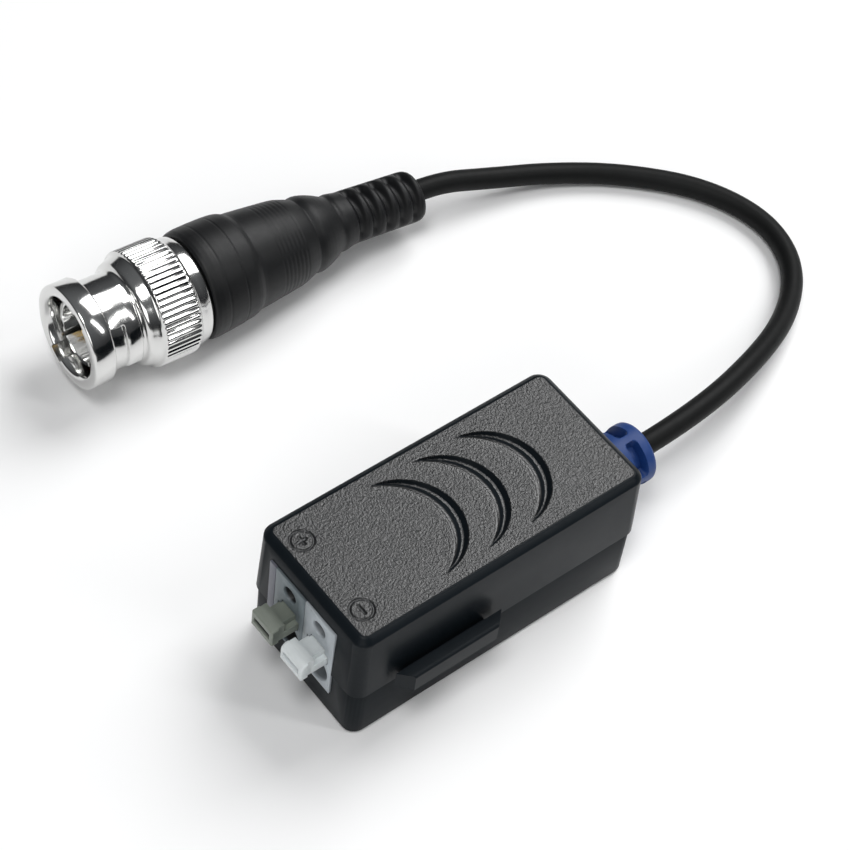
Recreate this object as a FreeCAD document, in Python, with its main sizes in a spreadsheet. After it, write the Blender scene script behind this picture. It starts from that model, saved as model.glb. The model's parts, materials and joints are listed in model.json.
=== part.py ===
"""Video balun with a push-lever wire terminal and a short coax lead that ends in a bayonet plug.

Frame: millimetres, +Z up. The origin is the centre of the housing's flat underside. -Y is the
wire terminal's side, +Y the lead's side and +X the side with the joining rail. The plug lies on
the same surface as the housing and is modelled along its own axis, from its open mouth backwards.
"""
import FreeCAD, Part
import math
import os

import Sketcher

os.makedirs("parts", exist_ok=True)
doc = FreeCAD.newDocument("VideoBalun")
Vector = FreeCAD.Vector
Rotation = FreeCAD.Rotation

# Driving sizes: name, millimetres or degrees, meaning
SIZES = [
    ("housing_width", 18.4, "across, at the joint between the shells"),
    ("housing_length", 38.8, "front to back"),
    ("housing_height", 17.4, "underside to top face"),
    ("joint_height", 7.6, "height of the joint between the shells"),
    ("shell_wall", 1.3, "wall of both shells"),
    ("corner_radius", 1.6, "upright corners"),
    ("upper_draft", 1.75, "degrees that the upper walls lean in"),
    ("bevel_inset", 1.0, "top bevel, across"),
    ("bevel_drop", 0.65, "top bevel, down"),
    ("shell_step", 0.18, "how far the lower shell stands back at the joint"),
    ("bottom_round", 0.6, "lower outer edge"),
    ("lip_width", 0.6, "locating lip of the lower shell"),
    ("lip_rise", 0.7, "lip above the joint"),
    ("seat_gap", 0.05, "clearance between pieces that seat"),
    ("grip_radius", 6.6, "outer arc of a grip groove"),
    ("grip_back", 8.3, "last grip groove's apex, in front of the back face"),
    ("grip_pitch", 5.65, "from one grip groove to the next"),
    ("grip_outer", 0.8, "across the groove's outer slope, at the apex"),
    ("grip_inner", 1.1, "across the groove's inner slope, at the apex"),
    ("grip_spread", 0.5, "how much flatter the groove's inner arc is"),
    ("grip_depth", 0.5, "depth of the crease in a groove"),
    ("rail_start", 4.5, "rail behind the front face"),
    ("rail_length", 14.0, "rail along the wall"),
    ("rail_gap", 0.75, "between the wall and the rail's flange"),
    ("rail_thick", 1.5, "flange thickness"),
    ("rail_height", 2.6, "flange height"),
    ("rail_foot", 1.0, "height of the foot that carries the flange"),
    ("rail_fit", 0.1, "play of a neighbour's rail in the channel"),
    ("channel_wall", 0.6, "wall round the channel on the other side"),
    ("pole_pitch", 5.08, "from wire to wire"),
    ("block_bottom", 3.9, "underside of the terminal"),
    ("block_top", 15.0, "top of the terminal"),
    ("block_depth", 10.0, "terminal, front to back"),
    ("end_plate", 1.1, "cover on the open side of the terminal"),
    ("side_wall", 0.8, "closed side of a pole"),
    ("entry_height", 6.3, "wire entry above the underside"),
    ("entry_mouth", 2.0, "radius of the wire funnel's mouth"),
    ("entry_bore", 1.3, "radius of the wire entry"),
    ("entry_taper", 2.4, "depth of the funnel"),
    ("probe_height", 13.0, "test hole above the underside"),
    ("probe_radius", 1.03, "test hole"),
    ("probe_depth", 3.4, "test hole"),
    ("chamber_front", 3.9, "clamp chamber behind the front face"),
    ("chamber_back", 9.2, "end of the clamp chamber"),
    ("chamber_floor", 4.4, "clamp chamber's floor"),
    ("chamber_roof", 11.5, "clamp chamber's roof"),
    ("lever_reach", 3.45, "lever in front of the terminal"),
    ("lever_head", 1.75, "depth of a lever's head"),
    ("lever_lip", 0.95, "depth of the wide lip in front of a lever's head"),
    ("lever_width", 3.6, "width of this lip"),
    ("lever_waist", 3.25, "width of a lever's head behind the lip"),
    ("lever_round", 0.2, "softened front edges of a lever"),
    ("white_round", 0.85, "rounded top of the white lever"),
    ("lever_bottom", 8.55, "underside of a lever"),
    ("lever_top", 11.05, "top of a lever's head"),
    ("lever_step", 9.75, "top of the wide part of the shank"),
    ("shank_top", 10.6, "top of the narrow part of the shank"),
    ("shank_wide", 3.3, "wide part of the shank"),
    ("shank_narrow", 2.1, "narrow part of the shank"),
    ("shank_depth", 5.0, "shank inside the terminal"),
    ("lever_travel", 1.6, "how far a lever is pushed in"),
    ("lever_play", 0.15, "clearance round a shank"),
    ("slot_width", 2.7, "screwdriver slot in a lever"),
    ("slot_height", 0.95, "screwdriver slot"),
    ("slot_depth", 0.9, "screwdriver slot"),
    ("spring_thick", 0.35, "clamp spring's strip"),
    ("spring_width", 2.8, "clamp spring's strip"),
    ("bar_thick", 0.5, "contact bar"),
    ("pin_width", 0.8, "solder pin"),
    ("pin_reach", 1.0, "solder pin below the board"),
    ("board_width", 14.2, "circuit board"),
    ("board_end", 13.4, "circuit board's back edge"),
    ("board_thick", 1.2, "circuit board"),
    ("post_radius", 1.3, "posts under the board"),
    ("peg_radius", 0.6, "pegs through the board"),
    ("post_across", 5.5, "posts, sideways from the middle"),
    ("post_front", -7.6, "front pair of posts"),
    ("post_rear", 11.6, "rear pair of posts"),
    ("core_outer", 4.2, "transformer ring, outer radius"),
    ("core_inner", 2.2, "transformer ring, inner radius"),
    ("core_height", 3.6, "transformer ring"),
    ("core_place", -1.6, "transformer, along the housing"),
    ("wire_layer", 0.3, "winding on the ring"),
    ("turn_rise", 0.3, "height of a turn above the layer"),
    ("base_thick", 1.0, "transformer's base"),
    ("part_place", 6.6, "row of small parts, along the housing"),
    ("part_across", 4.4, "outer small parts, sideways from the middle"),
    ("arrester_radius", 1.75, "end caps of the surge arrester"),
    ("arrester_length", 4.4, "surge arrester"),
    ("cap_length", 0.9, "end caps of the surge arrester"),
    ("disc_radius", 2.1, "disc capacitor"),
    ("disc_thick", 1.4, "disc capacitor"),
    ("disc_lift", 0.8, "disc capacitor above the board"),
    ("resistor_length", 3.2, "series resistor"),
    ("resistor_radius", 1.05, "ends of the series resistor"),
    ("bead_length", 0.7, "ends of the series resistor"),
    ("part_wire", 0.5, "wires of the small parts"),
    ("lead_across", 1.0, "lead's exit, sideways from the middle"),
    ("lead_height", 7.7, "lead's exit above the underside"),
    ("cable_radius", 1.35, "coax lead"),
    ("relief_radius", 3.65, "strain relief"),
    ("relief_length", 6.4, "strain relief behind the housing, without its rounded end"),
    ("relief_nose", 0.5, "rounded end of the strain relief"),
    ("relief_neck", 2.7, "where the housing clamps the strain relief"),
    ("relief_flange", 1.2, "flange inside the housing"),
    ("relief_slot", 1.3, "width of the slots"),
    ("relief_slot_depth", 1.2, "depth of the slots"),
    ("relief_web", 1.1, "web between two slots"),
    ("relief_slot_place", 4.7, "middle of the first row behind the housing"),
    ("relief_row", 2.6, "from one row of slots to the next"),
    ("cable_inside", 6.0, "lead inside the housing"),
    ("core_strip", 2.2, "stripped core in front of the jacket"),
    ("plug_across", -47.33, "plug's axis, sideways from the middle"),
    ("plug_mouth", -17.54, "plug's open end, along the housing"),
    ("plug_yaw", 2.4, "degrees that the plug is turned from the housing's length"),
    ("ring_radius", 7.15, "knurled ring of the nut"),
    ("ring_start", 9.05, "knurled ring behind the mouth"),
    ("ring_end", 13.9, "back edge of the knurled ring"),
    ("knurl_depth", 0.22, "grooves of the knurl"),
    ("nut_length", 15.6, "bayonet nut"),
    ("nut_rear", 6.45, "radius of the nut's back rim"),
    ("flange_radius", 6.35, "front flange of the nut"),
    ("flange_length", 2.8, "front flange of the nut"),
    ("barrel_radius", 5.5, "barrel of the nut"),
    ("barrel_end", 7.1, "back end of the barrel"),
    ("cam_radius", 5.95, "raised cam on the barrel"),
    ("cam_width", 4.6, "raised cam, across"),
    ("cam_end", 6.6, "back end of a cam"),
    ("cam_arm", 4.6, "front edge of a cam's arm, behind the mouth"),
    ("nut_turn", 66, "degrees that the nut is turned on the plug"),
    ("track_radius", 5.55, "bayonet track inside the cam"),
    ("track_width", 2.3, "bayonet track"),
    ("mouth_radius", 4.9, "bore of the nut"),
    ("web_start", 9.9, "inner web of the nut"),
    ("web_end", 11.3, "inner web of the nut"),
    ("tube_radius", 4.0, "plug body where the nut turns"),
    ("turn_fit", 0.08, "running clearance of the nut"),
    ("rear_bore", 5.7, "bore of the nut behind the web"),
    ("collar_radius", 5.3, "collar that holds the nut"),
    ("collar_length", 3.6, "collar that holds the nut"),
    ("sleeve_radius", 4.05, "outer contact"),
    ("sleeve_bore", 3.5, "inside of the outer contact"),
    ("sleeve_start", 1.5, "outer contact behind the mouth"),
    ("sleeve_slot", 0.5, "slots of the outer contact"),
    ("sleeve_slot_end", 6.2, "end of these slots"),
    ("shell_flange", 4.55, "flange of the plug body"),
    ("flange_start", 7.6, "flange of the plug body"),
    ("flange_end", 9.0, "flange of the plug body"),
    ("washer_thick", 0.3, "spring washer"),
    ("gasket_thick", 0.9, "sealing ring"),
    ("insulator_start", 3.2, "nose of the insulator"),
    ("insulator_nose", 2.3, "radius of this nose"),
    ("pin_radius", 0.68, "centre pin"),
    ("pin_start", 2.0, "tip of the centre pin"),
    ("body_end", 18.6, "back end of the plug body"),
    ("body_bore", 2.4, "bore of the plug body's back end"),
    ("ferrule_radius", 3.1, "crimp ferrule"),
    ("ferrule_bore", 2.45, "crimp ferrule over the screen"),
    ("ferrule_end", 27.5, "back end of the ferrule"),
    ("boot_start", 15.9, "moulded boot behind the mouth"),
    ("boot_end", 48.15, "end of the boot's tail"),
    ("boot_radius", 6.7, "boot's front band"),
    ("band_length", 6.0, "boot's front band"),
    ("boot_edge", 0.35, "softened edges of the boot"),
    ("boot_step", 0.55, "step down behind the band"),
    ("taper_length", 7.8, "tapered stretch behind the band"),
    ("taper_radius", 5.45, "end of the tapered stretch"),
    ("waist_place", 9.7, "waist behind the band"),
    ("waist_radius", 4.75, "waist"),
    ("bulge_place", 11.2, "bulge behind the band"),
    ("bulge_radius", 5.0, "bulge"),
    ("shoulder_place", 13.2, "end of the bulge behind the band"),
    ("shoulder_radius", 4.15, "end of the bulge"),
    ("neck_radius", 3.43, "neck between the bulge and the tail's cuff"),
    ("neck_length", 2.1, "from the neck to the tail's ribs"),
    ("cuff_radius", 3.63, "cuff at the start of the tail"),
    ("cuff_length", 1.5, "cuff at the start of the tail"),
    ("tail_radius", 3.28, "boot's ribbed tail"),
    ("tail_start", 38.1, "start of the ribbed tail"),
    ("rib_pitch", 1.93, "from one groove of the tail to the next"),
    ("rib_groove", 0.92, "width of a groove"),
    ("rib_depth", 0.5, "depth of a groove"),
    ("rib_count", 5, "grooves"),
    ("spine_width", 3.2, "smooth spine along both sides of the tail"),
    ("spine_angle", 36.0, "degrees that the spines are turned from level"),
]

# The lead's route from the strain relief to the boot, chosen from the photograph, in millimetres
LEAD_ROUTE = [
    (1.0, 26.3, 7.7),
    (1.0, 35.8, 7.7),
    (-2.7, 50.2, 5.2),
    (-7.3, 59.6, 2.5),
    (-13.1, 65.7, 1.4),
    (-20.3, 67.4, 1.4),
    (-28.7, 64.3, 1.4),
    (-36.0, 57.3, 1.4),
    (-40.9, 49.6, 1.7),
    (-43.5, 41.2, 3.2),
    (-45.15, 34.485, 4.993),
    (-45.317, 30.494, 5.217),
]
KNURL_TEETH = 60
WINDING_TURNS = 7


class Size:
    """A number together with the sheet formula that gives it, so arithmetic keeps the link."""

    def __init__(self, number, formula=None):
        self.number = float(number)
        self.formula = formula or repr(float(number))

    def combine(self, other, sign, number):
        return Size(number, f"({self.formula} {sign} {other.formula})")

    def __add__(self, other):
        other = as_size(other)
        return self.combine(other, "+", self.number + other.number)

    def __sub__(self, other):
        other = as_size(other)
        return self.combine(other, "-", self.number - other.number)

    def __mul__(self, other):
        other = as_size(other)
        return self.combine(other, "*", self.number * other.number)

    def __truediv__(self, other):
        other = as_size(other)
        return self.combine(other, "/", self.number / other.number)

    def __radd__(self, other):
        return as_size(other) + self

    def __rsub__(self, other):
        return as_size(other) - self

    def __rmul__(self, other):
        return as_size(other) * self

    def __neg__(self):
        return Size(-self.number, f"(-{self.formula})")


def as_size(value):
    return value if isinstance(value, Size) else Size(value)


class Sheet:
    """The spreadsheet of driving sizes; each size is also an attribute of this object."""

    def __init__(self):
        self.cells = doc.addObject("Spreadsheet::Sheet", "Sizes")
        for row, (alias, number, meaning) in enumerate(SIZES, start=1):
            self.cells.set(f"A{row}", str(number))
            self.cells.setAlias(f"A{row}", alias)
            self.cells.set(f"B{row}", meaning)
            setattr(self, alias, Size(number, f"Sizes.{alias}"))


s = Sheet()
doc.recompute()


def bind(thing, path, size):
    """Set a property to a size and keep it bound to the sheet."""
    size = as_size(size)
    thing.setExpression(path, size.formula)


def move(thing, x=0, y=0, z=0):
    for axis, size in zip("xyz", (x, y, z)):
        bind(thing, f"Placement.Base.{axis}", size)
    return thing


def block(name, x, y, z):
    """A box; x, y and z are pairs, from and to."""
    box = doc.addObject("Part::Box", name)
    for side, (low, high) in zip(("Length", "Width", "Height"), (x, y, z)):
        bind(box, side, as_size(high) - low)
    return move(box, x[0], y[0], z[0])


TURNS = {
    "x": Rotation(Vector(0, 1, 0), 90),
    "y": Rotation(Vector(1, 0, 0), -90),
    "z": Rotation(),
}


def rod(name, radius, length, along="y", at=(0, 0, 0)):
    """A cylinder that runs from the point at, along an axis."""
    cylinder = doc.addObject("Part::Cylinder", name)
    cylinder.Placement.Rotation = TURNS[along]
    bind(cylinder, "Radius", radius)
    bind(cylinder, "Height", length)
    return move(cylinder, *at)


def cone(name, radius, end_radius, length, along="y", at=(0, 0, 0)):
    shape = doc.addObject("Part::Cone", name)
    shape.Placement.Rotation = TURNS[along]
    bind(shape, "Radius1", radius)
    bind(shape, "Radius2", end_radius)
    bind(shape, "Height", length)
    return move(shape, *at)


def join(name, pieces):
    fuse = doc.addObject("Part::MultiFuse", name)
    fuse.Shapes = pieces
    fuse.Refine = True
    return fuse


def cut(name, base, tools):
    """The base without the tools."""
    result = doc.addObject("Part::Cut", name)
    result.Base = base
    result.Tool = tools[0] if len(tools) == 1 else join(name + "_tools", tools)
    result.Refine = True
    return result


def common(name, first, second):
    result = doc.addObject("Part::Common", name)
    result.Base = first
    result.Tool = second
    return result


def new_body(name):
    return doc.addObject("PartDesign::Body", name)


def origin_plane(body, role):
    return next(plane for plane in body.Origin.OriginFeatures if plane.Role == role)


def outline(body, name, role, corners, lift=None):
    """A closed sketch on an origin plane with a corner at each (across, up) pair of sizes."""
    sketch = body.newObject("Sketcher::SketchObject", name)
    sketch.AttachmentSupport = [(origin_plane(body, role), "")]
    sketch.MapMode = "FlatFace"
    if lift is not None:
        bind(sketch, "AttachmentOffset.Base.z", lift)
    corners = [(as_size(across), as_size(up)) for across, up in corners]
    points = [Vector(across.number, up.number, 0) for across, up in corners]
    for index, point in enumerate(points):
        after = points[(index + 1) % len(points)]
        sketch.addGeometry(Part.LineSegment(point, after), False)
    for index in range(len(points)):
        after = (index + 1) % len(points)
        sketch.addConstraint(Sketcher.Constraint("Coincident", index, 2, after, 1))
    for index, (across, up) in enumerate(corners):
        for kind, size in (("DistanceX", across), ("DistanceY", up)):
            number = sketch.addConstraint(Sketcher.Constraint(kind, -1, 1, index, 1, size.number))
            bind(sketch, f"Constraints[{number}]", size)
    return sketch


def rectangle(x, y):
    return [(x[0], y[0]), (x[1], y[0]), (x[1], y[1]), (x[0], y[1])]


def pad(body, sketch, length, taper=None, midplane=False, reverse=False):
    feature = body.newObject("PartDesign::Pad", sketch.Name + "_pad")
    feature.Profile = sketch
    bind(feature, "Length", length)
    feature.Midplane = midplane
    feature.Reversed = reverse
    if taper is not None:
        bind(feature, "TaperAngle", taper)
    sketch.Visibility = False
    return feature


def pocket(body, sketch, length, midplane=False, reverse=False):
    feature = body.newObject("PartDesign::Pocket", sketch.Name + "_pocket")
    feature.Profile = sketch
    bind(feature, "Length", length)
    feature.Midplane = midplane
    feature.Reversed = reverse
    return feature


def edges_where(feature, test):
    """Names of the feature's edges whose two ends pass the test."""
    names = []
    for number, edge in enumerate(feature.Shape.Edges, start=1):
        ends = [vertex.Point for vertex in edge.Vertexes]
        if len(ends) == 2 and test(*ends):
            names.append(f"Edge{number}")
    return names


def fillet(body, feature, names, radius):
    round_off = body.newObject("PartDesign::Fillet", feature.Name + "_round")
    round_off.Base = (feature, names)
    bind(round_off, "Radius", radius)
    return round_off


def turned(name, corners):
    """A body of revolution about its own Z; the corners are (radius, height) pairs."""
    body = new_body(name)
    sketch = outline(body, name + "_profile", "XZ_Plane", corners)
    feature = body.newObject("PartDesign::Revolution", name + "_turned")
    feature.Profile = sketch
    feature.ReferenceAxis = (sketch, ["V_Axis"])
    feature.Angle = 360
    return body


def is_upright(first, second):
    return abs(first.z - second.z) > 1 and abs(first.x - second.x) < 1 and abs(first.y - second.y) < 1


SUBPARTS = []


def finish(thing, label):
    """Give a sub-part the name of its node and file."""
    thing.Label = label
    SUBPARTS.append(thing)
    return thing


# Places that several pieces share
half_width = s.housing_width / 2
half_length = s.housing_length / 2
front = -half_length
inner_half_width = half_width - s.shell_wall
inner_half_length = half_length - s.shell_wall
lower_half_width = half_width - s.shell_step
lower_half_length = half_length - s.shell_step
board_top = s.block_bottom
board_bottom = board_top - s.board_thick
pole_width = s.pole_pitch - s.seat_gap
block_left = -s.pole_pitch - s.end_plate
block_right = s.pole_pitch - s.seat_gap
block_back = front + s.block_depth
rail_front = front + s.rail_start
rail_back = rail_front + s.rail_length
rail_outer = half_width + s.rail_gap + s.rail_thick
channel_depth = s.rail_gap + s.rail_thick + s.rail_fit
channel_inner = -half_width + channel_depth
channel_top = s.joint_height + s.rail_height + s.rail_fit
channel_block_inner = channel_inner + s.channel_wall
channel_block_top = channel_top + s.channel_wall
channel_front = rail_front - s.rail_fit


def terminal_opening(name, gap):
    """The room that the terminal takes in the front walls."""
    return block(name, (block_left - gap, block_right + gap), (front - 1, block_back),
                 (s.block_bottom - gap, s.block_top + gap))


def relief_groove(name):
    """The hole that clamps the strain relief, through the back walls."""
    return rod(name, s.relief_neck + s.seat_gap, 2 * s.shell_wall + s.shell_step,
               at=(s.lead_across, inner_half_length - s.shell_wall, s.lead_height))


def ring_at(name, radius, along, height):
    circle = doc.addObject("Part::Circle", name)
    bind(circle, "Radius", radius)
    return move(circle, 0, along, height)


def loft(name, sections):
    solid = doc.addObject("Part::Loft", name)
    solid.Sections = sections
    solid.Solid = True
    solid.Ruled = True
    return solid


def grip_groove(name, apex):
    """A crescent whose outer and inner slopes meet in a crease and run out at its tips."""
    centre = apex - s.grip_radius
    top = s.housing_height
    # Both slopes run on above the top face by their own depth
    crease = centre - s.grip_outer
    hollow = loft(name + "_hollow",
                  [ring_at(name + "_crease", s.grip_radius, crease, top - s.grip_depth),
                   ring_at(name + "_above", s.grip_radius, centre + s.grip_outer, top + s.grip_depth)])
    # The inner slope starts a hair inside the crease
    shift = s.grip_inner + s.grip_spread
    core = loft(name + "_core",
                [ring_at(name + "_foot", s.grip_radius - s.seat_gap, crease, top - s.grip_depth),
                 ring_at(name + "_brim", s.grip_radius + 2 * s.grip_spread, crease - 2 * shift,
                         top + s.grip_depth)])
    reach = 2 * s.grip_radius
    ahead = block(name + "_ahead", (-reach, reach), (centre + s.grip_spread, centre + reach),
                  (top - s.grip_depth - 1, top + 1))
    return common(name, cut(name + "_ring", hollow, [core]), ahead)


def make_upper_shell():
    body = new_body("upper_form")
    rise = s.housing_height - s.joint_height
    plan = outline(body, "upper_plan", "XY_Plane",
                   rectangle((-half_width, half_width), (-half_length, half_length)), s.joint_height)
    form = pad(body, plan, rise, taper=-s.upper_draft)
    doc.recompute()
    rounded = fillet(body, form, edges_where(form, is_upright), s.corner_radius)
    doc.recompute()
    top = s.housing_height.number
    rim = edges_where(rounded, lambda a, b: abs(a.z - top) < 0.01 and abs(b.z - top) < 0.01)
    bevel = body.newObject("PartDesign::Chamfer", "upper_bevel")
    bevel.Base = (rounded, rim)
    bevel.ChamferType = "Two distances"
    bind(bevel, "Size", s.bevel_drop)
    bind(bevel, "Size2", s.bevel_inset)
    bevel.FlipDirection = BEVEL_FLIP
    hollow = outline(body, "upper_hollow", "XY_Plane",
                     rectangle((-inner_half_width, inner_half_width),
                               (-inner_half_length, inner_half_length)), s.joint_height)
    pocket(body, hollow, rise - s.shell_wall, reverse=True)

    # Joining rail: a flange on a foot, its ends tapered for the neighbour's channel
    flange_inner = half_width + s.rail_gap
    flange = new_body("rail_flange")
    flange_plan = outline(flange, "rail_plan", "XY_Plane",
                          [(flange_inner, rail_front), (rail_outer, rail_front + s.rail_thick),
                           (rail_outer, rail_back - s.rail_thick), (flange_inner, rail_back)],
                          s.joint_height)
    flange_pad = pad(flange, flange_plan, s.rail_height)
    doc.recompute()
    outer = rail_outer.number
    flange_top = (s.joint_height + s.rail_height).number
    edge = edges_where(flange_pad, lambda a, b: all(abs(p.x - outer) < 0.01 and abs(p.z - flange_top) < 0.01
                                                    for p in (a, b)))
    fillet(flange, flange_pad, edge, s.rail_thick / 4)
    foot = block("rail_foot_form", (half_width - s.shell_wall / 2, flange_inner + s.rail_thick / 2),
                 (rail_front + s.rail_thick, rail_back - s.rail_thick),
                 (s.joint_height, s.joint_height + s.rail_foot))

    # Channel for a neighbour's rail, open at the back end
    channel_wall = block("channel_wall_form", (-inner_half_width - s.shell_wall / 2, channel_block_inner),
                         (channel_front - s.channel_wall, inner_half_length + s.shell_wall / 2),
                         (s.joint_height, channel_block_top))
    channel_room = block("channel_room", (-half_width + s.rail_gap - s.rail_fit, channel_inner),
                         (channel_front, half_length + 1), (s.joint_height, channel_top))
    channel_mouth = block("channel_mouth", (-half_width - 1, channel_inner),
                          (channel_front, half_length + 1),
                          (s.joint_height, s.joint_height + s.rail_foot + s.rail_fit))

    grips = [grip_groove(f"grip_{number}", half_length - s.grip_back - s.grip_pitch * number)
             for number in range(3)]
    solid = join("upper_solid", [body, flange, foot, channel_wall])
    tools = [channel_room, channel_mouth, terminal_opening("upper_front_room", s.seat_gap),
             relief_groove("upper_relief_groove")] + grips
    return finish(cut("upper_shell_cut", solid, tools), "upper_shell")


def make_lower_shell():
    body = new_body("lower_form")
    plan = outline(body, "lower_plan", "XY_Plane",
                   rectangle((-lower_half_width, lower_half_width), (-lower_half_length, lower_half_length)))
    form = pad(body, plan, s.joint_height)
    doc.recompute()
    rounded = fillet(body, form, edges_where(form, is_upright), s.corner_radius)
    doc.recompute()
    base_rim = edges_where(rounded, lambda a, b: abs(a.z) < 0.01 and abs(b.z) < 0.01)
    fillet(body, rounded, base_rim, s.bottom_round)
    inner_x = lower_half_width - s.shell_wall
    inner_y = lower_half_length - s.shell_wall
    hollow = outline(body, "lower_hollow", "XY_Plane", rectangle((-inner_x, inner_x), (-inner_y, inner_y)),
                     s.shell_wall)
    pocket(body, hollow, s.joint_height, reverse=True)

    # Locating lip inside the upper walls
    lip_x = inner_half_width - s.seat_gap
    lip_y = inner_half_length - s.seat_gap
    lip_z = (s.joint_height - s.shell_wall, s.joint_height + s.lip_rise)
    lip = cut("lip", block("lip_outer", (-lip_x, lip_x), (-lip_y, lip_y), lip_z),
              [block("lip_inner", (-lip_x + s.lip_width, lip_x - s.lip_width),
                     (-lip_y + s.lip_width, lip_y - s.lip_width), (lip_z[0] - 1, lip_z[1] + 1)),
               block("lip_channel_side", (-half_width, channel_block_inner + s.seat_gap),
                     (channel_front - s.channel_wall - s.seat_gap, half_length),
                     (s.joint_height, lip_z[1] + 1))])
    ledge = block("channel_ledge", (-inner_x - s.shell_wall / 2, channel_block_inner),
                  (channel_front - s.channel_wall, inner_y + s.shell_wall / 2),
                  (s.joint_height - s.shell_wall, s.joint_height))
    posts = []
    for side in (-1, 1):
        for row, along in (("front", s.post_front), ("rear", s.post_rear)):
            name = f"post_{row}_{'left' if side < 0 else 'right'}"
            posts.append(rod(name, s.post_radius, board_bottom - s.shell_wall / 2, "z",
                             (side * s.post_across, along, s.shell_wall / 2)))
            posts.append(rod(name + "_peg", s.peg_radius, board_top + s.peg_radius - s.shell_wall, "z",
                             (side * s.post_across, along, s.shell_wall)))
    solid = join("lower_solid", [body, lip, ledge] + posts)
    relief_seat = rod("relief_seat", s.relief_radius + s.seat_gap, 2 * s.shell_wall,
                      at=(s.lead_across, inner_half_length - 2 * s.shell_wall, s.lead_height))
    tools = [terminal_opening("lower_front_room", s.seat_gap), relief_groove("lower_relief_groove"),
             relief_seat]
    return finish(cut("lower_shell_cut", solid, tools), "lower_shell")


def shank_outline(centre, gap):
    """The stepped section of a lever's shank, seen from the front."""
    wide = s.shank_wide / 2 + gap
    narrow = s.shank_narrow / 2 + gap
    return [(centre - wide, s.lever_bottom - gap), (centre + wide, s.lever_bottom - gap),
            (centre + wide, s.lever_step + gap), (centre + narrow, s.lever_step + gap),
            (centre + narrow, s.shank_top + gap), (centre - narrow, s.shank_top + gap),
            (centre - narrow, s.lever_step + gap), (centre - wide, s.lever_step + gap)]


def front_prism(name, corners, start, length):
    """A prism that runs from start along +Y; the corners are (x, z) pairs."""
    body = new_body(name)
    # The XZ plane faces -Y, so the sketch is lifted by minus the start
    sketch = outline(body, name + "_section", "XZ_Plane", corners, -start)
    pad(body, sketch, length, reverse=True)
    return body


def side_prism(name, corners, start, length):
    """A prism that runs from start along +X; the corners are (y, z) pairs."""
    body = new_body(name)
    sketch = outline(body, name + "_section", "YZ_Plane", corners, start)
    pad(body, sketch, length)
    return body


def chamber_outline(gap=0):
    return rectangle((front + s.chamber_front + gap, front + s.chamber_back - gap),
                     (s.chamber_floor + gap, s.chamber_roof - gap))


def make_pole(name, left, label):
    """One pole of the terminal: funnel, lever slot, test hole and a chamber open to its left."""
    right = left + pole_width
    centre = left + pole_width / 2
    solid = block(name + "_block", (left, right), (front, block_back), (s.block_bottom, s.block_top))
    funnel = cone(name + "_funnel", s.entry_mouth, s.entry_bore, s.entry_taper, "y",
                  (centre, front, s.entry_height))
    bore = rod(name + "_bore", s.entry_bore, s.chamber_front + s.entry_bore, "y",
               (centre, front, s.entry_height))
    probe = rod(name + "_probe", s.probe_radius, s.probe_depth + 1, "y", (centre, front - 1, s.probe_height))
    slot = front_prism(name + "_slot", shank_outline(centre, s.lever_play), front - 1,
                       s.shank_depth + s.lever_travel + 1 + s.lever_play * 2)
    chamber = side_prism(name + "_chamber", chamber_outline(), left - 1,
                         pole_width + 1 - s.side_wall)
    pin_hole = block(name + "_pin_hole",
                     (centre - s.pin_width / 2 - s.seat_gap, centre + s.pin_width / 2 + s.seat_gap),
                     (pin_back - s.pin_width - s.seat_gap, pin_back + s.seat_gap),
                     (s.block_bottom - 1, s.chamber_floor + 1))
    return finish(cut(name + "_cut", solid, [funnel, bore, probe, slot, chamber, pin_hole]), label)


pin_back = front + s.chamber_back - 2 * s.pin_width


def make_end_plate():
    plate = block("plate_form", (block_left, -s.pole_pitch - s.seat_gap), (front, block_back),
                  (s.block_bottom, s.block_top))
    boss = side_prism("plate_boss", chamber_outline(s.seat_gap), -s.pole_pitch - 2 * s.seat_gap,
                      s.side_wall / 2)
    return finish(join("plate_solid", [plate, boss]), "terminal_end_plate")


def make_contact_bar(name, left, label):
    """A contact bar under the wire, with its solder pin through the board."""
    centre = left + pole_width / 2
    bar_top = s.chamber_floor + s.seat_gap + s.bar_thick
    bar = block(name + "_strip", (centre - s.spring_width / 2, centre + s.spring_width / 2),
                (front + s.chamber_front + s.seat_gap, front + s.chamber_back - s.bar_thick),
                (s.chamber_floor + s.seat_gap, bar_top))
    pin = block(name + "_pin", (centre - s.pin_width / 2, centre + s.pin_width / 2),
                (pin_back - s.pin_width, pin_back), (board_bottom - s.pin_reach, bar_top))
    return finish(join(name + "_solid", [bar, pin]), label)


def make_clamp_spring(name, left, label):
    """A bent strip: a foot on the bar, a back, a roof and a tongue that presses the wire down."""
    centre = left + pole_width / 2
    thick = s.spring_thick
    back = front + s.chamber_back - s.seat_gap
    low = s.chamber_floor + 2 * s.seat_gap + s.bar_thick
    roof = s.chamber_roof - s.seat_gap
    roof_front = back - s.spring_width * 0.55
    tip_y = front + s.chamber_front + s.entry_bore * 1.5
    tip_z = low + s.entry_bore * 0.8
    foot_front = back - s.spring_width
    corners = [(foot_front, low), (back, low), (back, roof), (roof_front, roof),
               (tip_y, tip_z), (tip_y + thick * 1.2, tip_z - thick * 0.2),
               (roof_front + thick * 0.9, roof - thick), (back - thick, roof - thick),
               (back - thick, low + thick), (foot_front, low + thick)]
    return finish(side_prism(name + "_strip", corners, centre - s.spring_width / 2, s.spring_width), label)


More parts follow.
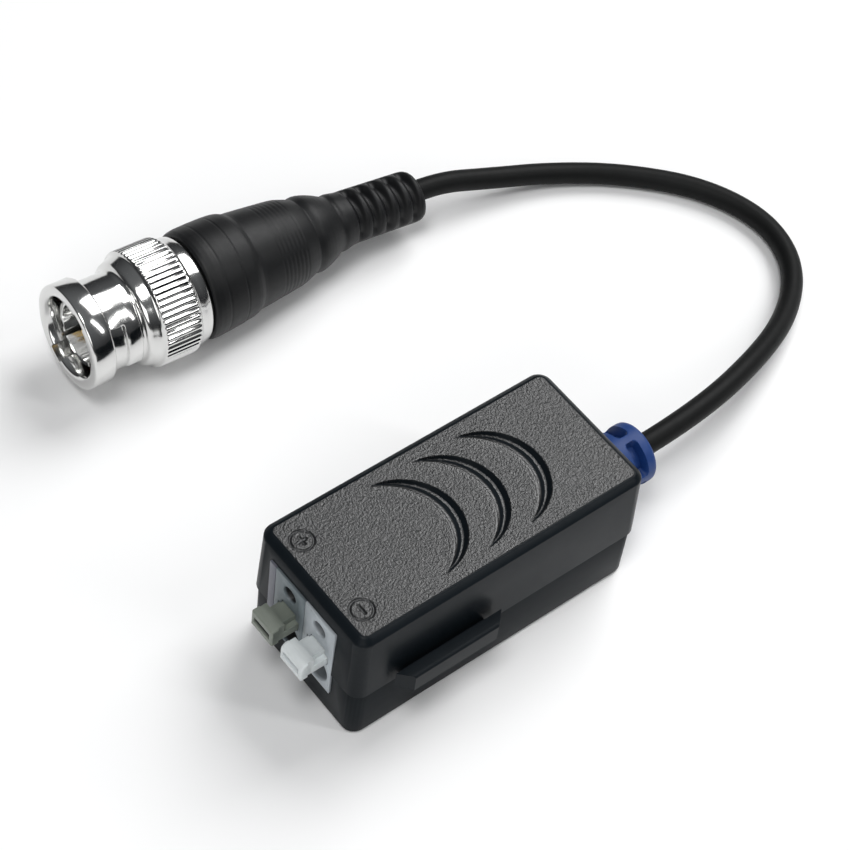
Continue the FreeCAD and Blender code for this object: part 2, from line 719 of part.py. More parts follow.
def make_lever(name, left, label, top_round):
    """A push lever: a head with a wide front lip and a screwdriver slot, on a stepped shank."""
    centre = left + pole_width / 2
    face = front - s.lever_reach
    body = new_body(name + "_body")
    half = s.lever_width / 2
    head_sketch = outline(body, name + "_head", "XZ_Plane",
                          rectangle((centre - half, centre + half), (s.lever_bottom, s.lever_top)), -face)
    lip = pad(body, head_sketch, s.lever_lip, reverse=True)
    doc.recompute()
    face_y = face.number
    top_z = s.lever_top.number

    def in_front(a, b):
        return abs(a.y - face_y) < 0.01 and abs(b.y - face_y) < 0.01

    def on_top(a, b):
        return abs(a.z - top_z) < 0.01 and abs(b.z - top_z) < 0.01

    nose = fillet(body, lip, edges_where(lip, lambda a, b: in_front(a, b) and on_top(a, b)), top_round)
    doc.recompute()
    fillet(body, nose, edges_where(nose, in_front), s.lever_round)
    waist = s.lever_waist / 2
    waist_sketch = outline(body, name + "_waist", "XZ_Plane",
                           rectangle((centre - waist, centre + waist), (s.lever_bottom, s.lever_top)),
                           -(face + s.lever_lip))
    pad(body, waist_sketch, s.lever_head - s.lever_lip, reverse=True)
    shank_sketch = outline(body, name + "_shank", "XZ_Plane", shank_outline(centre, 0),
                           -(face + s.lever_head - s.lever_play))
    pad(body, shank_sketch, s.lever_reach - s.lever_head + s.lever_play + s.shank_depth, reverse=True)
    slot_middle = (s.lever_bottom + s.lever_top) / 2
    slot_sketch = outline(body, name + "_driver_slot", "XZ_Plane",
                          rectangle((centre - s.slot_width / 2, centre + s.slot_width / 2),
                                    (slot_middle - s.slot_height / 2, slot_middle + s.slot_height / 2)),
                          -face)
    pocket(body, slot_sketch, s.slot_depth)
    return finish(body, label)


def make_board():
    """The circuit board, with holes for the pegs and the solder pins."""
    board = block("board_form", (-s.board_width / 2, s.board_width / 2),
                  (front + s.shell_wall + s.shell_step + 2 * s.seat_gap, s.board_end), (board_bottom, board_top))
    holes = []
    for side in (-1, 1):
        for row, along in (("front", s.post_front), ("rear", s.post_rear)):
            holes.append(rod(f"peg_hole_{row}_{side + 1}", s.peg_radius + s.seat_gap, s.board_thick + 2, "z",
                             (side * s.post_across, along, board_bottom - 1)))
    for pole, left in POLES.items():
        centre = left + pole_width / 2
        half = s.pin_width / 2 + s.seat_gap
        holes.append(block(f"{pole}_board_hole", (centre - half, centre + half),
                           (pin_back - s.pin_width - s.seat_gap, pin_back + s.seat_gap),
                           (board_bottom - 1, board_top + 1)))
    return finish(cut("board_cut", board, holes), "circuit_board")


def ring_section(name, outer, inner, low, high, at):
    """A plain ring that stands on its own axis."""
    wall = rod(name + "_wall", outer, high - low, "z", (at[0], at[1], low))
    hole = rod(name + "_hole", inner, high - low + 2, "z", (at[0], at[1], low - 1))
    return cut(name, wall, [hole])


def make_transformer():
    """A ring core with two windings, on a base with four feet."""
    at = (0, s.core_place)
    layer = s.wire_layer + s.turn_rise
    core_low = board_top + s.base_thick + layer + s.seat_gap
    core_high = core_low + s.core_height
    core = ring_section("core_form", s.core_outer, s.core_inner, core_low, core_high, at)
    finish(core, "transformer_core")

    reach = s.core_outer + layer + s.seat_gap
    plate = block("base_plate", (at[0] - reach, at[0] + reach), (at[1] - reach, at[1] + reach),
                  (board_top, board_top + s.base_thick))
    hub = rod("base_hub", s.core_inner - layer - 2 * s.seat_gap, core_high - board_top, "z",
              (at[0], at[1], board_top))
    finish(join("base_solid", [plate, hub]), "transformer_base")

    gap = s.seat_gap
    for name, turn, label in (("winding_front", 180, "line_winding"), ("winding_back", 0, "coax_winding")):
        sleeve = cut(name + "_sleeve",
                     ring_section(name + "_skin", s.core_outer + s.wire_layer, s.core_inner - s.wire_layer,
                                  core_low - s.wire_layer, core_high + s.wire_layer, at),
                     [ring_section(name + "_room", s.core_outer + gap / 2, s.core_inner - gap / 2,
                                   core_low - gap / 2, core_high + gap / 2, at)])
        turns = []
        for number in range(WINDING_TURNS):
            angle = math.radians(turn + 30 + number * 120 / (WINDING_TURNS - 1))
            turns.append(winding_turn(f"{name}_turn{number}", angle, core_low, core_high, at, gap))
        sector = half_sector(name + "_sector", turn, core_low, core_high, at)
        finish(join(name + "_solid", [common(name + "_part", sleeve, sector)] + turns), label)


def winding_turn(name, angle, low, high, at, gap):
    """One turn of wire round the ring's section, as a square loop."""
    wire = s.turn_rise + s.wire_layer / 2
    outer = block(name + "_outer", (s.core_inner - s.wire_layer - s.turn_rise,
                                    s.core_outer + s.wire_layer + s.turn_rise),
                  (-wire / 2, wire / 2),
                  (low - s.wire_layer - s.turn_rise, high + s.wire_layer + s.turn_rise))
    inner = block(name + "_inner", (s.core_inner - gap, s.core_outer + gap), (-wire, wire),
                  (low - gap, high + gap))
    loop = cut(name, outer, [inner])
    loop.Placement.Rotation = Rotation(Vector(0, 0, 1), math.degrees(angle))
    return move(loop, at[0], at[1], 0)


def half_sector(name, turn, low, high, at):
    """The sector of the ring that one winding covers."""
    sector = doc.addObject("Part::Cylinder", name)
    bind(sector, "Radius", s.core_outer + 2 * s.wire_layer)
    bind(sector, "Height", high - low + 4 * s.wire_layer)
    sector.Angle = 150
    sector.Placement.Rotation = Rotation(Vector(0, 0, 1), turn + 15)
    return move(sector, at[0], at[1], low - 2 * s.wire_layer)


def make_small_parts():
    """Surge arrester, capacitor and resistor behind the transformer."""
    lift = board_top + s.seat_gap
    wire = s.part_wire / 2
    first = s.part_place - s.arrester_length / 2
    axis = lift + s.arrester_radius
    tube = rod("arrester_tube", s.arrester_radius - s.part_wire / 2, s.arrester_length, "y",
               (-s.part_across, first, axis))
    caps = [rod(f"arrester_cap_{end}", s.arrester_radius, s.cap_length, "y", (-s.part_across, along, axis))
            for end, along in enumerate((first, first + s.arrester_length - s.cap_length))]
    finish(join("arrester_solid", [tube] + caps), "surge_arrester")

    axis = lift + s.disc_lift + s.disc_radius
    disc = rod("capacitor_disc", s.disc_radius, s.disc_thick, "y", (0, s.part_place - s.disc_thick / 2, axis))
    reach = s.disc_radius - 3 * wire
    legs = [block(f"capacitor_leg_{side + 1}", (side * reach - wire, side * reach + wire),
                  (s.part_place - wire, s.part_place + wire), (board_top, axis)) for side in (-1, 1)]
    finish(join("capacitor_solid", [disc] + legs), "ceramic_capacitor")

    first = s.part_place - s.resistor_length / 2
    last = s.part_place + s.resistor_length / 2
    axis = lift + s.resistor_radius
    at = s.part_across
    barrel = rod("resistor_barrel", s.resistor_radius - wire, s.resistor_length, "y", (at, first, axis))
    beads = [rod(f"resistor_bead_{end}", s.resistor_radius, s.bead_length, "y", (at, along, axis))
             for end, along in enumerate((first, last - s.bead_length))]
    through = block("resistor_wire", (at - wire, at + wire), (first - 2 * s.part_wire, last + 2 * s.part_wire),
                    (axis - wire, axis + wire))
    ends = [block(f"resistor_leg_{end}", (at - wire, at + wire), (along, along + s.part_wire), (board_top, axis))
            for end, along in enumerate((first - 2 * s.part_wire, last + s.part_wire))]
    finish(join("resistor_solid", [barrel, through] + beads + ends), "series_resistor")


def make_strain_relief():
    """A soft bushing: a flange inside, a clamped neck and a slotted outer part with a rounded end."""
    inner = inner_half_length - s.seat_gap
    bore = s.cable_radius + s.seat_gap
    wall = s.shell_wall + 2 * s.seat_gap
    rim = wall + s.relief_length
    tail = rim + s.relief_nose
    profile = [(bore, -s.relief_flange), (s.relief_radius, -s.relief_flange), (s.relief_radius, 0),
               (s.relief_neck, 0), (s.relief_neck, wall), (s.relief_radius, wall),
               (s.relief_radius, rim), (s.relief_radius - s.relief_nose * 0.3, rim + s.relief_nose * 0.7),
               (s.relief_radius - s.relief_nose, tail), (bore, tail)]
    form = turned("relief_form", profile)
    form.Placement.Rotation = TURNS["y"]
    move(form, s.lead_across, inner, s.lead_height)
    slots = []
    for row, turn in ((0, 0), (1, 45)):
        low = half_length + s.relief_slot_place - s.relief_row * row - s.relief_slot / 2
        ring = cut(f"slot_ring_{row}",
                   rod(f"slot_outer_{row}", s.relief_radius + 1, s.relief_slot, "y",
                       (s.lead_across, low, s.lead_height)),
                   [rod(f"slot_inner_{row}", s.relief_radius - s.relief_slot_depth, s.relief_slot + 2, "y",
                        (s.lead_across, low - 1, s.lead_height))])
        webs = []
        for arm in (0, 90):
            reach = s.relief_radius + 2
            web = block(f"slot_web_{row}_{arm}", (-reach, reach), (-s.relief_web / 2, s.relief_web / 2),
                        (-1, s.relief_slot + 1))
            holder = doc.addObject("Part::Compound", f"slot_arm_{row}_{arm}")
            holder.Links = [web]
            holder.Placement.Rotation = Rotation(Vector(0, 1, 0), turn + arm) * TURNS["y"]
            webs.append(move(holder, s.lead_across, low, s.lead_height))
        slots.append(cut(f"slot_row_{row}", ring, webs))
    return finish(cut("relief_cut", form, slots), "strain_relief")


def make_lead_inside():
    """The lead inside the housing and the bushing, with its two stripped ends on the board."""
    start = inner_half_length - s.cable_inside
    end = LEAD_ROUTE[0][1]
    cable = rod("inside_cable", s.cable_radius, end - start, "y", (s.lead_across, start, s.lead_height))
    finish(cable, "lead_inside")

    # The stripped conductor dips to the board in front of the jacket's end
    wire = 0.3
    core_drop = block("core_drop", (s.lead_across - wire, s.lead_across + wire),
                      (start - s.core_strip, start - s.core_strip + 2 * wire), (board_top, s.lead_height + wire))
    core_run = block("core_run", (s.lead_across - wire, s.lead_across + wire),
                     (start - s.core_strip, start), (s.lead_height - wire, s.lead_height + wire))
    finish(join("core_solid", [core_drop, core_run]), "core_wire")

    side = s.lead_across + s.cable_radius + 0.6
    screen_run = block("screen_run", (s.lead_across + 0.4, side + wire),
                       (start - 0.6, start), (s.lead_height - wire, s.lead_height + wire))
    screen_drop = block("screen_drop", (side - wire, side + wire), (start - 0.6, start),
                        (board_top, s.lead_height + wire))
    finish(join("screen_solid", [screen_run, screen_drop]), "screen_wire")


def cord_wire(points):
    """Straight runs joined by tangent arcs, each arc as large as its two runs allow."""
    points = [Vector(*point) for point in points]
    edges = []
    start = points[0]
    for before, corner, after in zip(points, points[1:], points[2:]):
        back = (before - corner).normalize()
        ahead = (after - corner).normalize()
        reach = 0.45 * min(before.distanceToPoint(corner), after.distanceToPoint(corner))
        turn = math.pi - back.getAngle(ahead)
        radius = reach / math.tan(turn / 2)
        first = corner + back * reach
        last = corner + ahead * reach
        middle_way = (back + ahead).normalize()
        centre = corner + middle_way * (radius / math.cos(turn / 2))
        middle = centre - middle_way * radius
        edges.append(Part.LineSegment(start, first).toShape())
        edges.append(Part.Arc(first, middle, last).toShape())
        print(f"lead: turn {math.degrees(turn):5.1f} degrees, radius {radius:5.1f} mm")
        start = last
    edges.append(Part.LineSegment(start, points[-1]).toShape())
    return Part.Wire(edges)


def make_lead():
    """The free stretch of the lead, from the strain relief to the boot."""
    path = cord_wire(LEAD_ROUTE)
    first = Vector(*LEAD_ROUTE[0])
    along = Vector(*LEAD_ROUTE[1]) - first
    radius = s.cable_radius.number
    section = Part.Wire([Part.makeCircle(radius, first, along)])
    tube = path.makePipeShell([section], True, True)
    expected = math.pi * radius ** 2 * path.Length
    print(f"lead: length {path.Length:.1f} mm, volume {tube.Volume:.1f}, section x length {expected:.1f} mm3")
    lead = doc.addObject("Part::Feature", "lead_tube")
    lead.Shape = tube
    return finish(lead, "coax_lead")


band_end = s.boot_start + s.band_length


def plug_pitch():
    """Degrees that the plug dips backwards, resting on its knurled ring and on the boot's front band."""
    fall = s.ring_radius - s.boot_radius
    run = band_end - s.ring_end
    return Size(math.degrees(math.atan(fall.number / run.number)), f"atan({fall.formula} / {run.formula})")


PITCH = plug_pitch()
PITCH_TURN = math.radians(PITCH.number)
PLUG_HEIGHT = Size(
    s.ring_radius.number * math.cos(PITCH_TURN) + s.ring_end.number * math.sin(PITCH_TURN),
    f"({s.ring_radius.formula} * cos({PITCH.formula}) + {s.ring_end.formula} * sin({PITCH.formula}))")
PLUG_TURN = Rotation(Vector(0, 0, 1), -s.plug_yaw.number) * Rotation(Vector(1, 0, 0), -90 - PITCH.number)


def seat_on_plug(thing, label, turn=0):
    """Turn a piece from the plug's own axis, mouth first, to where the plug lies."""
    thing.Placement.Rotation = PLUG_TURN * Rotation(Vector(0, 0, 1), -turn)
    move(thing, s.plug_across, s.plug_mouth, PLUG_HEIGHT)
    return finish(thing, label)


def make_nut():
    """The bayonet nut: flange, barrel with two raised cams and their arms, knurled ring and back rim."""
    edge = 0.3
    bore = s.mouth_radius
    profile = [(bore + edge, 0), (s.flange_radius - edge, 0), (s.flange_radius, edge),
               (s.flange_radius, s.flange_length - edge), (s.flange_radius - edge, s.flange_length),
               (s.barrel_radius, s.flange_length), (s.barrel_radius, s.barrel_end),
               (s.barrel_radius + 2 * edge, s.barrel_end + edge),
               (s.ring_radius - 2 * edge, s.ring_start - 3 * edge), (s.ring_radius, s.ring_start),
               (s.ring_radius, s.ring_end), (s.nut_rear, s.nut_length), (s.rear_bore, s.nut_length),
               (s.rear_bore, s.web_end), (s.tube_radius + s.turn_fit, s.web_end),
               (s.tube_radius + s.turn_fit, s.web_start), (bore, s.web_start), (bore, edge)]
    form = turned("nut_form", profile)
    cams = []
    tracks = []
    for number, side in enumerate((-1, 1)):
        beside = (0, s.ring_radius) if side > 0 else (-s.ring_radius, 0)
        cams.append(common(f"cam_{number}",
                           ring_section(f"cam_ring_{number}", s.cam_radius, bore + edge,
                                        s.flange_length - edge, s.cam_end, (0, 0)),
                           block(f"cam_room_{number}", beside, (-s.cam_width / 2, s.cam_width / 2),
                                 (0, s.cam_end))))
        cams.append(common(f"cam_arm_{number}",
                           ring_section(f"cam_arm_ring_{number}", s.cam_radius, bore + edge,
                                        s.cam_arm, s.cam_end, (0, 0)),
                           block(f"cam_arm_room_{number}", beside, beside, (0, s.cam_end))))
        half = s.track_width / 2
        low, high = (0, s.track_radius) if side > 0 else (-s.track_radius, 0)
        tracks.append(common(f"track_{number}", rod(f"track_round_{number}", s.track_radius, s.barrel_end, "z",
                                                    (0, 0, s.flange_length)),
                             block(f"track_room_{number}", (low, high), (-half, half),
                                   (s.flange_length, s.barrel_end - 2 * edge))))
        tracks.append(block(f"track_entry_{number}", (low, high), (-half, half), (-1, s.flange_length + edge)))
    solid = join("nut_solid", [form] + cams)
    return seat_on_plug(cut("nut_cut", solid, tracks + [knurl_cutter()]), "coupling_nut", s.nut_turn.number)


def knurl_cutter():
    """All V grooves of the straight knurl as one ring, made from a star outline."""
    outer = s.ring_radius.number + 0.5
    tip = s.ring_radius.number + 0.02
    root = s.ring_radius.number - s.knurl_depth.number
    star = []
    for number in range(KNURL_TEETH):
        for share, radius in ((0.0, tip), (0.3, root), (0.55, root), (0.85, tip)):
            angle = 2 * math.pi * (number + share) / KNURL_TEETH
            star.append(Vector(radius * math.cos(angle), radius * math.sin(angle), 0))
    star.append(star[0])
    face = Part.Face(Part.makePolygon(star))
    margin = 0.35
    low = s.ring_start.number - margin
    rise = s.ring_end.number - margin - low
    core = face.extrude(Vector(0, 0, rise))
    disc = Part.makeCylinder(outer, rise)
    cutter = doc.addObject("Part::Feature", "knurl_grooves")
    cutter.Shape = disc.cut(core)
    cutter.Placement.Base = Vector(0, 0, low)
    return cutter


def make_plug_body():
    """Outer contact, flange and the tube on which the nut turns, with slots in the contact."""
    profile = [(s.sleeve_bore, s.sleeve_start), (s.sleeve_radius, s.sleeve_start),
               (s.sleeve_radius, s.flange_start), (s.shell_flange, s.flange_start),
               (s.shell_flange, s.flange_end), (s.tube_radius, s.flange_end), (s.tube_radius, s.boot_start),
               (s.ferrule_bore + s.shell_wall / 2, s.boot_start), (s.ferrule_bore, s.body_end),
               (s.body_bore - s.shell_wall / 2, s.body_end), (s.body_bore - s.shell_wall / 2, s.web_end),
               (s.sleeve_bore, s.web_end)]
    form = turned("body_form", profile)
    slots = []
    for number, turn in enumerate((0, 90)):
        slot = block(f"contact_slot_{number}", (-s.ring_radius, s.ring_radius),
                     (-s.sleeve_slot / 2, s.sleeve_slot / 2), (0, s.sleeve_slot_end))
        holder = doc.addObject("Part::Compound", f"contact_slot_turned_{number}")
        holder.Links = [slot]
        holder.Placement.Rotation = Rotation(Vector(0, 0, 1), turn + 45)
        slots.append(holder)
    seat_on_plug(cut("body_cut", form, slots), "plug_body")


def make_plug_inside():
    gap = s.seat_gap
    pin_bore = s.pin_radius + gap
    insulator = turned("insulator_form", [
        (pin_bore, s.insulator_start), (s.insulator_nose, s.insulator_start),
        (s.insulator_nose, s.flange_start), (s.sleeve_bore - gap, s.flange_start),
        (s.sleeve_bore - gap, s.web_end - gap), (pin_bore, s.web_end - gap)])
    seat_on_plug(insulator, "plug_insulator")
    pin = turned("pin_form", [
        (0, s.pin_start), (s.pin_radius * 0.35, s.pin_start), (s.pin_radius, s.pin_start + s.pin_radius * 1.6),
        (s.pin_radius, s.body_end), (0, s.body_end)])
    seat_on_plug(pin, "centre_pin")
    washer_top = s.web_start - 0.15
    washer = turned("washer_form", [
        (s.tube_radius + gap, s.flange_end + gap), (s.tube_radius + gap + s.washer_thick, s.flange_end + gap),
        (s.shell_flange, washer_top - s.washer_thick), (s.shell_flange, washer_top),
        (s.shell_flange - s.washer_thick, washer_top),
        (s.tube_radius + gap, s.flange_end + gap + s.washer_thick)])
    seat_on_plug(washer, "spring_washer")
    gasket = turned("gasket_form", [
        (s.sleeve_radius + gap, s.flange_start - gap), (s.shell_flange, s.flange_start - gap),
        (s.shell_flange, s.flange_start - s.gasket_thick), (s.sleeve_radius + gap,
                                                           s.flange_start - s.gasket_thick)])
    seat_on_plug(gasket, "sealing_ring")
    collar_start = s.web_end + 0.15
    collar = turned("collar_form", [
        (s.tube_radius, collar_start), (s.collar_radius, collar_start),
        (s.collar_radius, collar_start + s.collar_length), (s.tube_radius, collar_start + s.collar_length)])
    seat_on_plug(collar, "retaining_collar")
    ferrule = turned("ferrule_form", [
        (s.ferrule_bore, s.body_end + gap), (s.ferrule_radius, s.body_end + gap),
        (s.ferrule_radius, s.ferrule_end), (s.ferrule_bore, s.ferrule_end)])
    seat_on_plug(ferrule, "crimp_ferrule")
    screen = turned("plug_cable_form", [
        (0, s.body_end + gap), (s.ferrule_bore, s.body_end + gap), (s.ferrule_bore, s.ferrule_end),
        (s.cable_radius, s.ferrule_end), (s.cable_radius, s.boot_end), (0, s.boot_end)])
    seat_on_plug(screen, "lead_in_boot")


def make_boot():
    """The moulded boot: front band, tapered grip, bulge, neck and a ribbed tail."""
    gap = s.seat_gap
    edge = s.boot_edge
    tail = s.tail_radius
    front_face = s.boot_start
    stepped = s.boot_radius - s.boot_step
    # The tapered stretch is slightly full between its ends
    full_radius = s.taper_radius + (stepped - s.taper_radius) * 0.6
    profile = [(s.tube_radius + gap, front_face), (s.boot_radius - edge, front_face),
               (s.boot_radius, front_face + 2 * edge), (s.boot_radius, band_end),
               (stepped, band_end + 2 * s.boot_step), (full_radius, band_end + s.taper_length * 0.7),
               (s.taper_radius, band_end + s.taper_length), (s.waist_radius, band_end + s.waist_place),
               (s.bulge_radius, band_end + s.bulge_place), (s.shoulder_radius, band_end + s.shoulder_place),
               (s.neck_radius, s.tail_start - s.neck_length), (s.cuff_radius, s.tail_start - s.cuff_length),
               (s.cuff_radius, s.tail_start - s.cuff_length / 2), (tail, s.tail_start),
               (tail, s.boot_end - 2 * edge), (tail - edge, s.boot_end), (s.cable_radius + gap, s.boot_end),
               (s.cable_radius + gap, s.ferrule_end + gap), (s.ferrule_radius + gap, s.ferrule_end + gap),
               (s.ferrule_radius + gap, s.body_end), (s.tube_radius + gap, s.body_end)]
    form = turned("boot_form", profile)
    rings = []
    for number in range(int(s.rib_count.number)):
        low = s.tail_start + s.rib_pitch * number + s.rib_groove / 2
        rings.append(ring_section(f"groove_{number}", tail + 1, tail - s.rib_depth, low, low + s.rib_groove,
                                  (0, 0)))
    spine = block("spine", (-tail - 2, tail + 2), (-s.spine_width / 2, s.spine_width / 2),
                  (s.tail_start - 1, s.boot_end + 1))
    holder = doc.addObject("Part::Compound", "spine_turned")
    holder.Links = [spine]
    holder.Placement.Rotation = Rotation(Vector(0, 0, 1), s.spine_angle.number)
    grooves = cut("grooves_open", join("grooves_all", rings), [holder])
    seat_on_plug(cut("boot_cut", form, [grooves]), "plug_boot")


BEVEL_FLIP = False
POLES = {"plus_pole": -s.pole_pitch, "minus_pole": as_size(0)}
make_upper_shell()
make_lower_shell()
make_end_plate()
for pole, left in POLES.items():
    make_pole(pole, left, pole)
    sign = pole.split("_")[0]
    make_contact_bar(sign + "_bar", left, sign + "_contact_bar")
    make_clamp_spring(sign + "_clamp", left, sign + "_clamp_spring")
make_lever("grey_lever", POLES["plus_pole"], "plus_lever", s.lever_round)
make_lever("white_lever", POLES["minus_pole"], "minus_lever", s.white_round)
make_board()
make_transformer()
make_small_parts()
make_strain_relief()
make_lead_inside()
make_lead()
make_nut()
make_plug_body()
make_plug_inside()
make_boot()
doc.recompute()

for thing in doc.Objects:
    troubles = {"Invalid", "Error"} & set(thing.State)
    if troubles:
        raise RuntimeError(f"{thing.Label}: {thing.State}")
facets = 0
for thing in SUBPARTS:
    shape = thing.Shape
    if shape.isNull() or not shape.isValid():
        raise RuntimeError(f"{thing.Label} has no valid shape")
    facets += len(shape.tessellate(0.1)[1])
    print(f"{thing.Label:20} solids {len(shape.Solids)} volume {shape.Volume:9.2f} mm3")
    shape.exportStep(f"parts/{thing.Label}.step")
print(f"{len(SUBPARTS)} sub-parts, about {facets} facets, plug pitch {PITCH.number:.3f} degrees, "
      f"plug axis height at the mouth {PLUG_HEIGHT.number:.3f} mm")
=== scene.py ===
# %% [markdown]
# A video balun is a small plastic box with a wire terminal at one end and a short coax lead at the
# other. The lead ends in a bayonet plug. Its solids come from CAD as a fixed frame, which already
# has every piece in its place. Here they get their looks: a camera, light, finishes, and the fine
# forms that are too small for the solids.

# %% The frame from CAD
import json
from math import atan2, ceil, cos, degrees, dist, hypot, radians, sin, tau

import bmesh
import bpy
from mathutils import Matrix, Vector

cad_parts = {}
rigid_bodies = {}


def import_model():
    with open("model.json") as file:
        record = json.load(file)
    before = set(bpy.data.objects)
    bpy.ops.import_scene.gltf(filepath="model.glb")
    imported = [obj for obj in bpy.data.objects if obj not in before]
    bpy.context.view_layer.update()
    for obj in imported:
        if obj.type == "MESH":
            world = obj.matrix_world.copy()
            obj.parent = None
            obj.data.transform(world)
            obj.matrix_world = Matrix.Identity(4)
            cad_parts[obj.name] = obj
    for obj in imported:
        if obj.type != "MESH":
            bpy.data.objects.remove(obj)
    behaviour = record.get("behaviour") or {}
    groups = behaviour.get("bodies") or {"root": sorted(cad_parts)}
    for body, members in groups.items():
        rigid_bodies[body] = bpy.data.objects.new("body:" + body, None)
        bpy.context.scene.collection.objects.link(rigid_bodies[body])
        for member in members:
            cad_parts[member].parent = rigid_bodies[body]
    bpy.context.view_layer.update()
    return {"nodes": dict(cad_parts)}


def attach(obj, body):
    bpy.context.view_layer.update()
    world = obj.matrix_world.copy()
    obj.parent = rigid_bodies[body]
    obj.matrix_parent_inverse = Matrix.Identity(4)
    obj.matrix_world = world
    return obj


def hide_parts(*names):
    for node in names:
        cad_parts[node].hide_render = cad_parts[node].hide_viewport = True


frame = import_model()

nodes = frame["nodes"]
shown = bpy.context.scene.collection.objects
MM = 0.001

# %% [markdown]
# The camera stands where the photograph was taken from. A view is three turns: how far round the
# object the camera has walked, how high it looks down from, and how much it is rolled. The long lens
# goes with them, because a longer lens from further away draws the box with less perspective.

# %% Camera
walk, height, roll = 0.7881, 0.9116, 0.1507  # in radians
sideways, raised, distance = -1.6876, 18.472, 272.548  # in millimetres from under the box's middle
level = Vector((cos(walk), sin(walk), 0.0))
upright = Vector((-sin(walk) * sin(height), cos(walk) * sin(height), cos(height)))
to_camera = level.cross(upright)
across = cos(roll) * level + sin(roll) * upright
upward = cos(roll) * upright - sin(roll) * level
stand = (across * sideways + upward * raised + to_camera * distance) * MM

camera = bpy.data.objects.new("camera", bpy.data.cameras.new("camera"))
camera.data.lens = 104.98
camera.data.sensor_width = 36.0
camera.data.clip_start = 0.01
camera.matrix_world = Matrix.Translation(stand) @ Matrix((across, upward, to_camera)).transposed().to_4x4()
shown.link(camera)
bpy.context.scene.camera = camera
print("camera at", [round(c, 4) for c in stand], "lens", camera.data.lens)

# %% [markdown]
# The lead leaves the blue bushing level, drops to the table, lies there in one wide bend and rises
# a little into the plug's boot. A smooth spline through a few guiding points is right for that,
# because a thin jacketed cable has no corners. The same points guide the solid tube in CAD.

# %% The coax lead
LEAD_ROUTE = [
    (1.0, 26.3, 7.7), (1.0, 35.8, 7.7), (-2.7, 50.2, 5.2), (-7.3, 59.6, 2.5),
    (-13.1, 65.7, 1.4), (-20.3, 67.4, 1.4), (-28.7, 64.3, 1.4), (-36.0, 57.3, 1.4),
    (-40.9, 49.6, 1.7), (-43.5, 41.2, 3.2), (-45.15, 34.485, 4.993), (-45.317, 30.494, 5.217),
]
LEAD_RADIUS = 1.35
lead_curve = bpy.data.curves.new("lead_jacket", "CURVE")
lead_curve.dimensions = "3D"
lead_curve.bevel_depth = 1.0  # times each point's own radius
lead_curve.bevel_resolution = 8
lead_curve.resolution_u = 16
lead_curve.use_fill_caps = True
line = lead_curve.splines.new("NURBS")
line.points.add(len(LEAD_ROUTE) - 1)
for point, (x, y, z) in zip(line.points, LEAD_ROUTE):
    point.co = (x * MM, y * MM, z * MM, 1.0)
    point.radius = LEAD_RADIUS * MM
line.order_u = 3
line.use_endpoint_u = True
lead = bpy.data.objects.new("lead_jacket", lead_curve)
shown.link(lead)
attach(lead, "housing")
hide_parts("coax_lead")
print("lead with", len(LEAD_ROUTE), "guiding points")

# %% [markdown]
# A new piece is drawn in millimetres as a loose mesh, moved to its place, and then made an object.
# Its faces are shaded smoothly, except across edges that turn by more than a given angle, so that a
# rim stays crisp while a barrel looks round. A piece from CAD is loose triangles, so a copy of it
# is merged before anything else is done to it.

# %% From a CAD piece to a form
def copied(node):
    """A merged copy of a CAD piece, in millimetres."""
    form = bmesh.new()
    form.from_mesh(nodes[node].data)
    bmesh.ops.scale(form, vec=(1 / MM, 1 / MM, 1 / MM), verts=form.verts)
    bmesh.ops.remove_doubles(form, verts=form.verts, dist=0.001)
    return form


# %% From a form to a piece
def finished(form, name, node, body, crisp, place=None):
    """The piece that stands for a CAD node. Edges that turn by crisp degrees or more stay sharp."""
    if place is not None:
        bmesh.ops.transform(form, matrix=place, verts=form.verts)
    bmesh.ops.scale(form, vec=(MM, MM, MM), verts=form.verts)
    for face in form.faces:
        face.smooth = True
    for edge in form.edges:
        edge.smooth = not edge.is_manifold or edge.calc_face_angle(0.0) < radians(crisp)
    data = bpy.data.meshes.new(name)
    form.to_mesh(data)
    form.free()
    piece = bpy.data.objects.new(name, data)
    shown.link(piece)
    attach(piece, body)
    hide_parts(node)
    print(name, "has", len(data.polygons), "faces")
    return piece


# %% A soft step, which every groove, tooth and rib below is shaped with
def eased(value, low, high):
    """0 up to low, 1 from high on, and a soft rise between."""
    share = min(1.0, max(0.0, (value - low) / (high - low)))
    return share * share * (3 - 2 * share)


# %% [markdown]
# The upper shell's top face carries the look of the whole part: three crescent grip grooves, two
# small engraved marks for the wires' poles, and a softly rounded bevel. A groove whose depth fades
# towards its tips is hard to cut with solids, but easy to press into a fine grid. So the shell's
# walls are taken from CAD, cut off below the bevel, and a new top is bridged onto them.

# %% Walls of the upper shell, cut open below the bevel
CUT_HEIGHT = 16.68
shell = copied("upper_shell")
bmesh.ops.bisect_plane(shell, geom=shell.verts[:] + shell.edges[:] + shell.faces[:], dist=0.0001,
                       plane_co=(0, 0, CUT_HEIGHT), plane_no=(0, 0, 1), clear_outer=True)
grain = shell.verts.layers.float.new("grain")  # 1 where the top face is etched, 0 where it is smooth
open_rim = [edge for edge in shell.edges if edge.is_boundary]
print("walls with", len(shell.faces), "faces and", len(open_rim), "edges round the opening")

